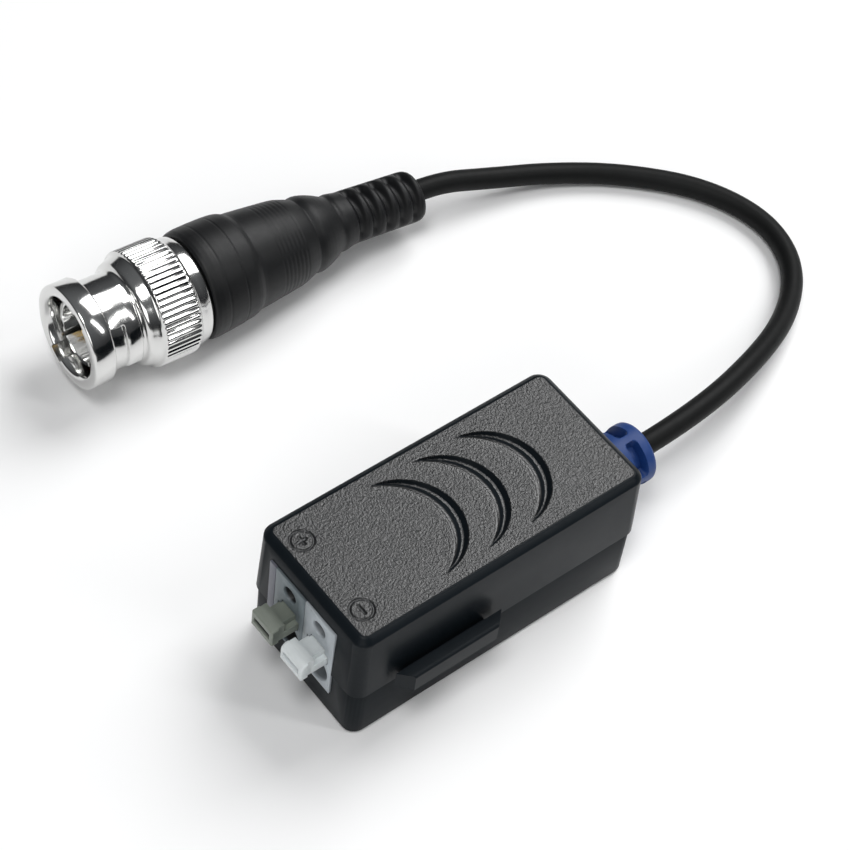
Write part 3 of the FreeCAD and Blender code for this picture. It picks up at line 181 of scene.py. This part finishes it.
# %% A fine grid for the flat top, with round corners
TOP_HEIGHT = 17.4
FLAT = Vector((7.979, 18.133))  # from the middle to the edges of the flat
CORNER = 0.657
CORE = FLAT - Vector((CORNER, CORNER))  # from the middle to the corners' own centres
GRID_ACROSS, GRID_ALONG = 178, 404  # gives squares of 0.09 mm
top = bmesh.ops.create_grid(shell, x_segments=GRID_ACROSS, y_segments=GRID_ALONG, size=1.0)["verts"]
bmesh.ops.scale(shell, vec=(FLAT.x, FLAT.y, 1), verts=top)
bmesh.ops.translate(shell, vec=(0, 0, TOP_HEIGHT), verts=top)
for vert in top:
    out = Vector((abs(vert.co.x), abs(vert.co.y))) - CORE
    if out.x > 0 and out.y > 0:
        out *= max(out) / out.length
        vert.co.x = (CORE.x + out.x) * (1 if vert.co.x > 0 else -1)
        vert.co.y = (CORE.y + out.y) * (1 if vert.co.y > 0 else -1)
print("top grid with", len(top), "points")

# %% [markdown]
# Each grip groove lies between two arcs, like a crescent moon. A third arc between them is its
# crease: the floor drops steeply from the outer arc to the crease and rises gently to the inner
# one, beyond which the plastic swells into a low lip.

# %% Grip grooves: how deep the top is at a point
GROOVE_TIPS = (11.1, 5.45, -0.2)  # how far each crescent reaches towards the lead
OUTER_ARC, INNER_ARC = 6.6, 7.1  # radii
INNER_SHIFT = 2.4  # from the outer arc's centre towards the terminal
CREASE_SHIFT = (0.2, 0.6)  # the same for the crease, to the left and towards the terminal
GROOVE_DEPTH = 0.5
OUTER_STEEP, INNER_STEEP = 1.3, 1.14  # above 1, a side reaches the floor before the crease
LIP_HEIGHT, LIP_WIDTH = 0.09, 1.4


def groove(x, y):
    """Depth below the top face, and how far the grain is smoothed away: half on lips, all in grooves."""
    for tip in GROOVE_TIPS:
        middle = tip - OUTER_ARC
        outer = hypot(x, y - middle) - OUTER_ARC
        crease = hypot(x + CREASE_SHIFT[0], y - middle + CREASE_SHIFT[1]) - OUTER_ARC
        inner = hypot(x, y - middle + INNER_SHIFT) - INNER_ARC
        if y > middle and outer < 0 < inner:
            deep = GROOVE_DEPTH * eased(inner - outer, 0.0, 1.0)
            if crease > 0:
                share = OUTER_STEEP * outer / (outer - crease)
                return deep * min(1.0, share), 1.0 if share < 1 else 0.5
            share = INNER_STEEP * inner / (inner - crease)
            if share > 1:
                return deep, 0.5
            return deep * share ** 1.7, 0.5 + 0.5 * eased(share, 0.3, 0.6)
        if y > middle and -LIP_WIDTH < inner <= 0:
            swell = 0.5 + 0.5 * cos(inner / LIP_WIDTH * tau / 2)
            lip = eased(y - middle, 0.5, 3.0) * swell
            return -LIP_HEIGHT * lip, 0.5 * lip
    return 0.0, 0.0


# %% Engraved marks for the two poles: a ring with a cross or a bar in it
MARKS = ((-5.1, True), (5.1, False))  # where each is across the top, and whether it has a cross
MARK_ROW = -16.3
RING_RADIUS, RING_HALF_LINE = 1.25, 0.11
BAR_HALF_LENGTH, BAR_HALF_LINE = 0.62, 0.14
ENGRAVED_DEPTH = 0.14
MARK_REACH = 2.0  # points further off than this are left alone


def mark(x, y):
    """Depth of the engraved lines, from how far a point is from the nearest one."""
    deepest = 0.0
    for centre, crossed in MARKS:
        side, ahead = abs(x - centre), abs(y - MARK_ROW)
        if side < MARK_REACH and ahead < MARK_REACH:
            ring = abs(hypot(side, ahead) - RING_RADIUS) - RING_HALF_LINE
            nearest = min(ring, max(side - BAR_HALF_LENGTH, ahead - BAR_HALF_LINE))
            if crossed:
                nearest = min(nearest, max(side - BAR_HALF_LINE, ahead - BAR_HALF_LENGTH))
            deepest = max(deepest, ENGRAVED_DEPTH * (1 - eased(nearest, -0.06, 0.08)))
    return deepest


# %% Pressing both into the grid
for vert in top:
    pressed, smoothed = groove(vert.co.x, vert.co.y)
    engraved = mark(vert.co.x, vert.co.y)
    vert.co.z -= pressed + engraved
    vert[grain] = max(0.0, 1.0 - smoothed - engraved * 5)  # the engraved lines are smooth too
print("top from", round(min(vert.co.z for vert in top), 3), "to", round(max(vert.co.z for vert in top), 3))

# %% The rounded bevel, one ring of edges at a time, and the bridge to the walls
BEVEL = [  # how far out each ring is and its height
    (0.06, 17.396), (0.16, 17.38), (0.27, 17.34), (0.39, 17.265), (0.53, 17.155), (0.68, 17.03),
    (0.80, 16.92), (0.89, 16.82), (0.93, 16.76),
]
rim = list({edge for vert in top for edge in vert.link_edges if edge.is_boundary})
for spread, ring_height in BEVEL:
    grown = bmesh.ops.extrude_edge_only(shell, edges=rim)["geom"]
    rim = [item for item in grown if isinstance(item, bmesh.types.BMEdge)]
    for vert in {vert for edge in rim for vert in edge.verts}:
        near = Vector((min(CORE.x, max(-CORE.x, vert.co.x)), min(CORE.y, max(-CORE.y, vert.co.y))))
        out = (vert.co.xy - near).normalized() * (CORNER + spread)
        vert.co = (near.x + out.x, near.y + out.y, ring_height)
        vert[grain] = 0.0
bmesh.ops.bridge_loops(shell, edges=rim + open_rim)
bmesh.ops.recalc_face_normals(shell, faces=shell.faces)
upper = finished(shell, "upper_shell_dressed", "upper_shell", "housing", crisp=40)

# %% [markdown]
# The other moulded pieces have the right shape already, but a solid's edges are mathematically
# sharp and catch no light. A merged copy of each gets a small bevel, as every moulded edge has.

# %% Softened copies of the moulded and turned pieces
FLAT_ENOUGH, SHARP = 0.3, 30  # degrees between two faces


def softened_copy(node, round_off, body="housing"):
    """A CAD piece whose sharp edges get a narrow bevel. Its normals then keep the flat faces flat."""
    form = copied(node)
    bmesh.ops.dissolve_limit(form, angle_limit=radians(FLAT_ENOUGH), verts=form.verts, edges=form.edges)
    piece = finished(form, node + "_softened", node, body, crisp=180)
    edge = piece.modifiers.new("moulded_edge", "BEVEL")
    edge.width = round_off * MM
    edge.segments = 2
    edge.limit_method = "ANGLE"
    edge.angle_limit = radians(SHARP)
    edge.harden_normals = True
    return piece


lower = softened_copy("lower_shell", 0.10)
end_plate = softened_copy("terminal_end_plate", 0.06)
plus_pole = softened_copy("plus_pole", 0.05)
minus_pole = softened_copy("minus_pole", 0.05)
plus_lever = softened_copy("plus_lever", 0.07, "plus_lever")
minus_lever = softened_copy("minus_lever", 0.07, "minus_lever")
contact = softened_copy("plug_body", 0.05)

# %% [markdown]
# Everything on the plug is round, so it starts as one half of its outline, which is spun about the
# plug's own axis. The plug lies on the table a little nose up, because the nut is thicker than the
# boot. Teeth, cams and ribs are then pushed in or out, point by point.

# %% Spinning an outline
PLUG_MOUTH = (-47.33, -17.54, 7.919)
PLUG = (Matrix.Translation(PLUG_MOUTH) @ Matrix.Rotation(radians(-2.4), 4, "Z")
        @ Matrix.Rotation(radians(-93.219), 4, "X"))


def stepped(outline, step):
    """The same outline with a point at least every step."""
    dense = []
    for start, end in zip(outline, outline[1:]):
        parts = ceil(dist(start, end) / step)
        dense += [tuple(a + (b - a) * part / parts for a, b in zip(start, end)) for part in range(parts)]
    return dense + outline[-1:]


def spun(outline, turns):
    """A closed form about Z from an outline of (radius, height) points."""
    form = bmesh.new()
    dots = [form.verts.new((radius, 0, high)) for radius, high in outline]
    loop = [form.edges.new(pair) for pair in zip(dots, dots[1:] + dots[:1])]
    bmesh.ops.spin(form, geom=dots + loop, cent=(0, 0, 0), axis=(0, 0, 1), angle=tau,
                   steps=turns, use_merge=True)
    bmesh.ops.remove_doubles(form, verts=form.verts, dist=0.0001)
    return form


def measured(vert):
    """A point's distance from the axis, its height and its turn about the axis in degrees."""
    return hypot(vert.co.x, vert.co.y), vert.co.z, degrees(atan2(vert.co.y, vert.co.x))


def push(vert, radius):
    """Moves a point of a spun form to another radius."""
    vert.co.xy *= radius / hypot(vert.co.x, vert.co.y)


# %% [markdown]
# The bayonet nut is nickel-plated. From the mouth backwards it has a flange, a barrel with two
# raised cams whose arms run round it, a hollow shoulder, the knurled ring and a smooth rear band.
# Inside are two tracks for the pins of the socket.

# %% Outline of the bayonet nut
NUT_OUTSIDE = [
    (5.2, 0.0), (6.1, 0.0), (6.27, 0.08), (6.35, 0.26), (6.35, 2.55), (6.27, 2.73), (6.1, 2.8),
    (5.62, 2.82), (5.52, 2.9), (5.5, 3.05), (5.5, 4.45), (5.5, 4.55), (5.5, 4.65), (5.5, 4.72),
    (5.5, 6.4), (5.5, 6.5), (5.51, 6.6), (5.53, 6.7), (5.56, 6.8), (5.64, 6.95), (5.84, 7.1),
    (6.1, 7.22), (6.26, 7.4), (6.36, 7.65), (6.52, 8.1), (6.7, 8.5), (6.74, 8.66), (6.86, 8.74),
    (7.02, 8.84), (7.12, 8.94), (7.15, 9.04), (7.15, 9.15), (7.15, 13.25), (7.15, 13.4),
    (7.12, 13.54), (7.04, 13.66), (6.94, 13.74), (6.8, 13.84), (6.74, 14.0), (6.66, 14.6),
    (6.52, 15.3), (6.42, 15.55), (6.3, 15.6),
]
NUT_INSIDE = [
    (5.7, 15.6), (5.7, 11.3), (4.08, 11.3), (4.08, 9.9), (4.9, 9.9), (4.9, 6.7), (4.9, 6.4), (4.9, 0.3),
]
nut = spun(stepped(NUT_OUTSIDE + NUT_INSIDE, 1.6), turns=480)
print("nut spun into", len(nut.verts), "points")

# %% Cams, teeth and tracks of the nut
CAM_RADIUS, CAM_RISE = 5.75, 0.45
TRACK_RADIUS = 5.55
TEETH, TOOTH_DEPTH = 60, 0.2
NUT_TURN = radians(-66)  # puts the cams where the photograph shows them
for vert in nut.verts:
    radius, high, turn = measured(vert)
    turn %= 180  # the nut's two halves are alike
    aside = min(turn, 180 - turn) * radians(CAM_RADIUS)
    if radius > 5.45 and 2.85 < high < 6.9:  # outside of the barrel
        pad = 1 - eased(aside, 2.2, 2.4)
        arm = (1 - eased(turn, 80, 92)) * eased(high, 4.5, 4.7)
        push(vert, radius + CAM_RISE * max(pad, arm) * (1 - eased(high, 6.45, 6.75)))
    elif radius > 6.9 and 8.8 < high < 13.7:  # knurled ring
        tooth = 0.5 - 0.5 * cos(radians(turn * TEETH))
        along = eased(high, 8.85, 9.1) * (1 - eased(high, 13.3, 13.6))
        push(vert, radius - TOOTH_DEPTH * tooth ** 2.2 * along)
    elif radius < 5.3 and high < 6.5:  # inside of the barrel
        track = 1 - eased(aside, 1.05, 1.2)
        push(vert, max(radius, radius + (TRACK_RADIUS - radius) * track))
bmesh.ops.recalc_face_normals(nut, faces=nut.faces)
nut = finished(nut, "bayonet_nut", "coupling_nut", "coupling_nut", crisp=50,
               place=PLUG @ Matrix.Rotation(NUT_TURN, 4, "Z"))

# %% [markdown]
# The boot is moulded over the crimped end of the lead. It has a front band with two fine lines, a
# tapered grip that ends in fine rings, a bulge, and a tail whose ribs stop at a smooth spine on
# each side. The tail hangs a little, as soft rubber does.

# %% Outline of the boot
BOOT_OUTSIDE = [
    (4.05, 15.9), (6.3, 15.9), (6.55, 16.1), (6.68, 16.5), (6.74, 17.2), (6.7, 19.0), (6.62, 20.5),
    (6.52, 21.6), (6.46, 22.1), (6.36, 22.5), (6.1, 23.1), (6.03, 23.5), (5.97, 24.3), (5.77, 26.3),
    (5.52, 28.7), (5.42, 29.5), (5.34, 29.95), (5.2, 30.45), (5.02, 31.0), (4.84, 31.5),
    (4.73, 31.75), (4.68, 31.9), (4.72, 32.1), (4.79, 32.5), (4.80, 32.8), (4.74, 33.2),
    (4.62, 33.65), (4.42, 34.25), (4.12, 34.95), (3.82, 35.55), (3.64, 35.9), (3.55, 36.15),
    (3.55, 36.35), (3.6, 36.6), (3.6, 36.85), (3.53, 37.3), (3.42, 37.8), (3.35, 38.2), (3.33, 38.6),
    (3.29, 42.0), (3.25, 47.2), (3.2, 47.7), (3.06, 48.0), (2.8, 48.15), (1.4, 48.15),
]
BOOT_INSIDE = [(1.4, 48.1), (1.4, 27.55), (3.15, 27.55), (3.15, 18.6), (4.05, 18.6)]
boot = spun(stepped(BOOT_OUTSIDE, 0.13) + stepped(BOOT_INSIDE, 1.0), turns=144)
print("boot spun into", len(boot.verts), "points")

# %% How the boot hangs, and its fine lines
DROOP = [(15.9, 0.05), (21.5, 0.33), (30.0, 0.36), (36.0, 0.35), (39.0, 0.33), (43.0, 0.07), (48.15, -0.27)]


def droop(high):
    """How far the boot leaves the plug's straight axis at a height."""
    for (low, first), (end, last) in zip(DROOP, DROOP[1:]):
        if high <= end:
            return first + (last - first) * max(0.0, high - low) / (end - low)
    return DROOP[-1][1]


def cut_line(high, places, half, deep):
    """Depth of fine V lines that run round the boot at some heights."""
    return deep * max(0.0, 1 - min(abs(high - place) for place in places) / half)


# %% Band, rings and ribs of the boot
DOWN = radians(-143.8)
SPINE = 36  # degrees about the axis, and the other spine is opposite
BAND_LINES = (18.0, 20.5)
FINE_RINGS = [26.2 + 0.58 * ring for ring in range(7)]
RIB_GROOVES = [39.02 + 1.93 * rib for rib in range(5)]
RIB_DEPTH = 0.7
BULGE_END, TAIL_INSIDE = 28, 30  # heights between which the outside gets slimmer
for vert in boot.verts:
    radius, high, turn = measured(vert)
    outside = radius > (4.5 if high < BULGE_END else 2.9)
    if outside:
        from_spine = abs((turn - SPINE + 90) % 180 - 90)
        from_groove = min(abs(high - place) for place in RIB_GROOVES)
        lines = cut_line(high, BAND_LINES, 0.12, 0.07) + cut_line(high, FINE_RINGS, 0.16, 0.05)
        ribs = RIB_DEPTH * (1 - eased(from_groove, 0.12, 0.8)) * eased(from_spine, 10, 34)
        push(vert, radius - lines - ribs)
    if outside or high > TAIL_INSIDE:
        vert.co.x += droop(high) * cos(DOWN)
        vert.co.y += droop(high) * sin(DOWN)
bmesh.ops.recalc_face_normals(boot, faces=boot.faces)
boot = finished(boot, "boot_dressed", "plug_boot", "housing", crisp=60, place=PLUG)

# %% [markdown]
# The blue bushing keeps the lead from kinking where it leaves the box. Two rows of slots, half a
# step apart, make it bend evenly. Each slot is a short trench with round ends.

# %% Strain relief
RELIEF_OUTSIDE = [
    (1.4, 16.8), (3.65, 16.8), (3.65, 18.0), (2.7, 18.0), (2.7, 19.42), (3.58, 19.42), (3.65, 19.5),
    (3.65, 25.75), (3.6, 25.98), (3.46, 26.17), (3.2, 26.3), (1.75, 26.3), (1.4, 26.2),
]
RELIEF_PLACE = Matrix.Translation((1.0, 0, 7.7)) @ Matrix.Rotation(radians(-90), 4, "X")
SLOT_ROWS = ((24.1, 45), (21.5, 0))  # height of each row, and its first slot's turn in degrees
SLOT_HALF_RUN, SLOT_HALF_WIDTH, SLOT_ROUND = 1.85, 0.2, 0.42  # both halves are up to the round edge
SLOT_DEPTH = 1.2
RELIEF_RADIUS = 3.65
relief = spun(stepped(RELIEF_OUTSIDE, 0.12) + [(1.4, 20.0)], turns=240)
for vert in relief.verts:
    radius, high, turn = measured(vert)
    if radius > 3.4 and 20 < high < 26:
        for row_height, first_turn in SLOT_ROWS:
            along = abs((turn - first_turn + 45) % 90 - 45) * radians(RELIEF_RADIUS) - SLOT_HALF_RUN
            beside = abs(high - row_height) - SLOT_HALF_WIDTH
            edge = hypot(max(0.0, along), max(0.0, beside)) - SLOT_ROUND
            radius -= SLOT_DEPTH * (1 - eased(edge, -0.03, 0.13))
        push(vert, radius)
bmesh.ops.recalc_face_normals(relief, faces=relief.faces)
relief = finished(relief, "strain_relief_dressed", "strain_relief", "housing", crisp=50,
                  place=RELIEF_PLACE)

# %% [markdown]
# The table is one pale sheet that reaches past the picture's edges. It is staging and not part of
# the object.

# %% Table
TABLE_HALF = 0.3  # metres
sheet = bmesh.new()
bmesh.ops.create_grid(sheet, x_segments=1, y_segments=1, size=TABLE_HALF)
table_data = bpy.data.meshes.new("table")
sheet.to_mesh(table_data)
sheet.free()
table = bpy.data.objects.new("table", table_data)
shown.link(table)
print("table of", 2 * TABLE_HALF, "m")


# %% [markdown]
# A finish is a small network of nodes, and so is the room's light. Writing it as sums and products
# of Python values is easier to read than placing each Math node by hand, so a tiny class lets a
# socket be added and multiplied, and each such step leaves one Math node behind.

# %% Nodes as a formula
class Signal:
    """One output of a node, which can be used in a sum or product."""

    def __init__(self, network, socket):
        self.network, self.socket = network, socket

    def step(self, operation, first, second):
        return self.network.add("ShaderNodeMath", {"operation": operation}, {0: first, 1: second})

    def __add__(self, other):
        return self.step("ADD", self, other)

    def __radd__(self, other):
        return self.step("ADD", other, self)

    def __sub__(self, other):
        return self.step("SUBTRACT", self, other)

    def __rsub__(self, other):
        return self.step("SUBTRACT", other, self)

    def __mul__(self, other):
        return self.step("MULTIPLY", self, other)

    def __rmul__(self, other):
        return self.step("MULTIPLY", other, self)


# %% A network that grows node by node
class Network:
    """The nodes of one material or of the room."""

    def __init__(self, tree):
        self.tree = tree

    def add(self, kind, settings=None, inputs=None, output=0):
        """Adds a node with its settings, then feeds its sockets."""
        node = self.tree.nodes.new(kind)
        for key, value in (settings or {}).items():
            if key == "stops":
                self.spread(node.color_ramp.elements, value)
            else:
                setattr(node, key, value)
        for key, value in (inputs or {}).items():
            self.feed(node.inputs[key], value)
        return Signal(self, node.outputs[output])

    def spread(self, elements, stops):
        """Gives a ramp its stops, from the lowest up."""
        while len(elements) < len(stops):
            elements.new(1.0)
        for element, (place, tone) in zip(elements, stops):
            element.position, element.color = place, tone

    def feed(self, socket, value):
        if isinstance(value, Signal):
            self.tree.links.new(value.socket, socket)
        else:
            socket.default_value = value


# %% [markdown]
# Black plastic and bright nickel show mostly what surrounds them. A large soft light above and
# behind, a dark band near the horizon and the pale table below give the nickel its hard contrast
# and let the black walls stay black. Below its horizon the room is as pale as the table.

# %% Light
AIM = Vector((-0.02, 0.015, 0.0))
ROOM_STOPS = [  # 0 is straight down, 0.5 the horizon and 1 straight up
    (0.49, (0.85, 0.85, 0.85, 1.0)), (0.52, (0.02, 0.02, 0.022, 1.0)), (0.95, (0.14, 0.145, 0.15, 1.0)),
]


def softbox(name, spot, size, power):
    """A flat soft light, its place and size in metres and its power in watts."""
    panel = bpy.data.lights.new(name, "AREA")
    panel.shape = "RECTANGLE"
    panel.size, panel.size_y = size
    panel.energy = power
    holder = bpy.data.objects.new(name, panel)
    holder.location = spot
    holder.rotation_euler = (Vector(spot) - AIM).to_track_quat("Z", "Y").to_euler()
    shown.link(holder)


softbox("key", (-0.22, 0.80, 0.95), (0.8, 0.8), 12.0)
softbox("above", (0.15, -0.35, 1.15), (0.4, 0.4), 5.0)
softbox("front", (0.60, -0.80, 0.60), (0.8, 0.6), 3.0)
softbox("strip", (0.66, 0.50, 0.86), (0.10, 0.7), 2.2)
room = bpy.data.worlds.new("room")
room.use_nodes = True
sky = Network(room.node_tree)
direction = sky.add("ShaderNodeTexCoord", output="Generated")
rise = sky.add("ShaderNodeSeparateXYZ", {}, {"Vector": direction}, "Z")
tone = sky.add("ShaderNodeValToRGB", {"stops": ROOM_STOPS}, {"Fac": rise * 0.5 + 0.5}, "Color")
sky.feed(room.node_tree.nodes["Background"].inputs["Color"], tone)
bpy.context.scene.world = room
bpy.context.scene.view_settings.view_transform = "Standard"
print("lights", [light.name for light in bpy.data.lights])


# %% [markdown]
# Every finish starts from Blender's general surface shader and reads its patterns at the piece's
# own coordinates, so that a pattern stays on the piece as it moves.

# %% A finish
class Finish(Network):
    """One material and the nodes that make it."""

    def __init__(self, name, **fixed):
        self.material = bpy.data.materials.new(name)
        self.material.use_nodes = True
        super().__init__(self.material.node_tree)
        self.shader = self.tree.nodes["Principled BSDF"]
        self.where = self.add("ShaderNodeTexCoord", output="Object")
        for socket, value in fixed.items():
            self.set(socket.replace("_", " "), value)

    def set(self, socket, value):
        self.feed(self.shader.inputs[socket], value)

    def noise(self, size, detail=2.0):
        """Cloudy noise between 0 and 1 whose blobs are about size metres across."""
        return self.add("ShaderNodeTexNoise", {}, {
            "Vector": self.where, "Scale": 1.0 / size, "Detail": detail}, "Fac")

    def cells(self, size):
        """Rounded cells of about size metres, 0 in each cell's middle."""
        return self.add("ShaderNodeTexVoronoi", {"feature": "SMOOTH_F1"}, {
            "Vector": self.where, "Scale": 1.0 / size}, "Distance")

    def smooth(self, value, low, high, first=0.0, last=1.0):
        """A soft step that goes from first to last while value goes from low to high."""
        return self.add("ShaderNodeMapRange", {"interpolation_type": "SMOOTHSTEP"}, {
            "Value": value, "From Min": low, "From Max": high, "To Min": first, "To Max": last}, "Result")

    def axis(self, letter):
        return self.add("ShaderNodeSeparateXYZ", {}, {"Vector": self.where}, letter)

    def own(self, attribute):
        """A number that the mesh itself carries at each point."""
        return self.add("ShaderNodeAttribute", {"attribute_name": attribute}, output="Fac")

    def blend(self, share, first, second):
        """The first colour where share is 0 and the second where it is 1."""
        return self.add("ShaderNodeMix", {"data_type": "RGBA"}, {0: share, 6: first, 7: second}, 2)

    def relief(self, height, depth):
        """Feeds height, between 0 and 1, as a bump that is depth metres deep."""
        self.set("Normal", self.add("ShaderNodeBump", {}, {"Height": height, "Distance": depth}, "Normal"))


# %% Colours, and how a piece wears a finish
def color(red, green, blue):
    """A colour given as it is read off a screen, from 0 to 255, as the shader wants it."""
    channels = [c / 255 for c in (red, green, blue)]
    return tuple(((c + 0.055) / 1.055) ** 2.4 if c > 0.04045 else c / 12.92 for c in channels) + (1.0,)


def wear(finish, *pieces):
    """Gives pieces or CAD nodes their finish."""
    for piece in pieces:
        thing = nodes[piece] if isinstance(piece, str) else piece
        thing.data.materials.clear()
        thing.data.materials.append(finish.material)
    print(finish.material.name, "on", len(pieces), "pieces")


# %% [markdown]
# The table is matt paper. It has one plain tone, so that nothing on it draws the eye from the part.

# %% Table finish
paper = Finish("table_paper", Roughness=0.6)
paper.set("Base Color", (0.9, 0.9, 0.9, 1.0))
wear(paper, table)

# %% [markdown]
# The black plastic has two skins. The mould was etched where the top is flat, so that face breaks
# the light into many small glints. The bevel, the grooves and the walls were left polished and
# stay nearly black. The top's own attribute decides which of the two shaders is seen at a point.

# %% Black plastic
black = Finish("black_plastic", Specular_IOR_Level=0.9)
grained = black.own("grain")
pebble = black.cells(0.28 * MM) * 0.7 + black.noise(0.17 * MM) * 1.3  # blunt pebbles with fine grit
black.relief(pebble * grained, 0.08 * MM)
black.set("Roughness", 0.28 + black.noise(3.0 * MM) * 0.08)
black.set("Base Color", black.blend(black.noise(1.5 * MM), color(19, 20, 21), color(26, 27, 28)))
etched = Signal(black, black.shader.outputs["BSDF"])
polished = black.add("ShaderNodeBsdfPrincipled", {}, {
    "Specular IOR Level": 0.09,
    "Roughness": 0.30 + black.noise(4.0 * MM) * 0.08,
    "Base Color": black.blend(black.noise(1.5 * MM), color(16, 21, 25), color(21, 26, 30)),
})
both = black.add("ShaderNodeMixShader", {}, {0: black.smooth(grained, 0.1, 0.45), 1: polished, 2: etched})
black.feed(black.tree.nodes["Material Output"].inputs["Surface"], both)
wear(black, upper, lower)


# %% [markdown]
# The terminal's plastics are dull and light, with a faint mottle as moulded plastic has. The shade in
# the holes is painted: a soft step along the depth darkens the plastic's colour behind its front
# face, so the test hole and the screwdriver slot read as holes from any side.

# %% Terminal plastics, with painted shade in their holes
POLE_FRONT, LEVER_FRONT = -19.4, -22.85  # where the front faces are
LEVER_HEIGHT = 9.8
SOFT_EDGE = 0.03


def moulded(name, tone, darker, rough=0.38, shine=0.5):
    """A plastic or rubber that is mottled in two close colours."""
    finish = Finish(name, Specular_IOR_Level=shine)
    finish.skin = finish.blend(finish.noise(1.2 * MM, 3.0), color(*tone), color(*darker))
    finish.set("Base Color", finish.skin)
    finish.set("Roughness", rough + finish.noise(0.8 * MM) * 0.12)
    finish.relief(finish.noise(0.15 * MM, 3.0), 0.006 * MM)
    return finish


def shade_painted_in_holes(finish, inside, front, depth=20.0, slot=None):
    """Paints shade onto a moulded plastic behind its front face, down to a depth and, if given, inside a
    slot.
    """
    behind = finish.smooth(finish.axis("Y"), (front + 0.05) * MM, (front + 0.4) * MM)
    before = finish.smooth(finish.axis("Y"), (front + depth) * MM, (front + depth + SOFT_EDGE) * MM, 1.0, 0.0)
    shade = behind * before
    if slot:
        middle, half_width, half_height = slot
        for letter, centre, half in (("X", middle, half_width), ("Z", LEVER_HEIGHT, half_height)):
            offset = finish.axis(letter) - centre * MM
            away = finish.add("ShaderNodeMath", {"operation": "ABSOLUTE"}, {0: offset})
            shade = shade * finish.smooth(away, half * MM, (half + SOFT_EDGE) * MM, 1.0, 0.0)
    # painted shade: the given inside colour stands in for the light lost in the hole or slot
    finish.set("Base Color", finish.blend(shade, finish.skin, color(*inside)))
    return finish


grey = moulded("grey_plastic", (108, 118, 122), (98, 108, 113))
white = moulded("white_plastic", (180, 187, 192), (170, 177, 182))
grey_lever = moulded("grey_lever_plastic", (132, 138, 128), (120, 126, 117))
white_lever = moulded("white_lever_plastic", (226, 231, 231), (214, 220, 221))
wear(moulded("end_plate_plastic", (104, 106, 116), (94, 96, 106)), end_plate)
# painted shade in the poles' test holes and in the levers' screwdriver slots
wear(shade_painted_in_holes(grey, (26, 27, 28), POLE_FRONT), plus_pole)
wear(shade_painted_in_holes(white, (120, 124, 128), POLE_FRONT), minus_pole)
wear(shade_painted_in_holes(grey_lever, (30, 32, 36), LEVER_FRONT, 0.92, (-2.56, 1.36, 0.49)), plus_lever)
wear(shade_painted_in_holes(white_lever, (216, 220, 222), LEVER_FRONT, 0.92, (2.52, 1.36, 0.49)), minus_lever)

# %% [markdown]
# The pieces inside the box and the plug are seen only when it is opened. They get the same kind of
# finish in their usual colours: a green board, a dark ferrite ring, an orange capacitor coat.

# %% Inner plastics and ceramics
wear(moulded("board", (30, 96, 62), (24, 82, 52)), "circuit_board")
wear(moulded("base_plastic", (36, 36, 38), (30, 30, 32)), "transformer_base")
wear(moulded("ferrite", (58, 58, 60), (48, 48, 50), 0.55), "transformer_core")
wear(moulded("capacitor_coat", (196, 130, 60), (180, 116, 50)), "ceramic_capacitor")
wear(moulded("resistor_coat", (120, 170, 200), (104, 154, 186)), "series_resistor")
wear(moulded("ceramic", (226, 222, 212), (216, 210, 198)), "surge_arrester")
wear(moulded("seal_rubber", (170, 60, 40), (150, 50, 34)), "sealing_ring")
wear(moulded("insulator_plastic", (84, 84, 82), (72, 72, 70)), "plug_insulator")
wear(moulded("lead_core", (22, 22, 24), (28, 28, 30)), "lead_inside", "lead_in_boot")

# %% [markdown]
# The boot, the bushing and the lead's jacket are soft vinyl. It shines only a little, so its forms
# show in broad faint highlights.

# %% Boot, bushing and lead rubber
wear(moulded("boot_rubber", (12, 13, 14), (18, 19, 21), 0.42, 0.30), boot)
wear(moulded("blue_rubber", (28, 64, 126), (22, 54, 112), 0.42, 0.35), relief)
wear(moulded("lead_jacket", (14, 15, 15), (19, 20, 20), 0.46, 0.14), lead)


# %% [markdown]
# Metals are all shine: the base colour is the colour of their reflection. Nickel plate on a turned
# part is smooth, with a trace of unevenness. Brass, spring steel and copper wire are duller.

# %% Metals
def metal(name, tone, rough):
    """A metal whose colour, as the shader wants it, and roughness vary a little."""
    finish = Finish(name, Metallic=1.0)
    darker = [0.9 * channel for channel in tone]
    finish.set("Base Color", finish.blend(finish.noise(2.0 * MM), (*tone, 1.0), (*darker, 1.0)))
    finish.set("Roughness", rough + finish.noise(1.0 * MM, 3.0) * 0.06)
    finish.relief(finish.noise(0.3 * MM, 3.0), 0.0015 * MM)
    return finish


wear(metal("nickel", (0.72, 0.72, 0.71), 0.10), nut, contact)
wear(metal("gilt_brass", (0.62, 0.45, 0.20), 0.18), "centre_pin")
wear(metal("spring_steel", (0.6, 0.6, 0.6), 0.2), "spring_washer", "plus_clamp_spring", "minus_clamp_spring")
wear(metal("tinned_brass", (0.75, 0.74, 0.7), 0.22),
     "plus_contact_bar", "minus_contact_bar", "retaining_collar", "crimp_ferrule")
wear(metal("winding_wire", (0.85, 0.42, 0.18), 0.2), "line_winding")
wear(metal("winding_wire_red", (0.6, 0.12, 0.08), 0.25), "coax_winding")
wear(metal("copper", (0.9, 0.45, 0.25), 0.2), "core_wire", "screen_wire")
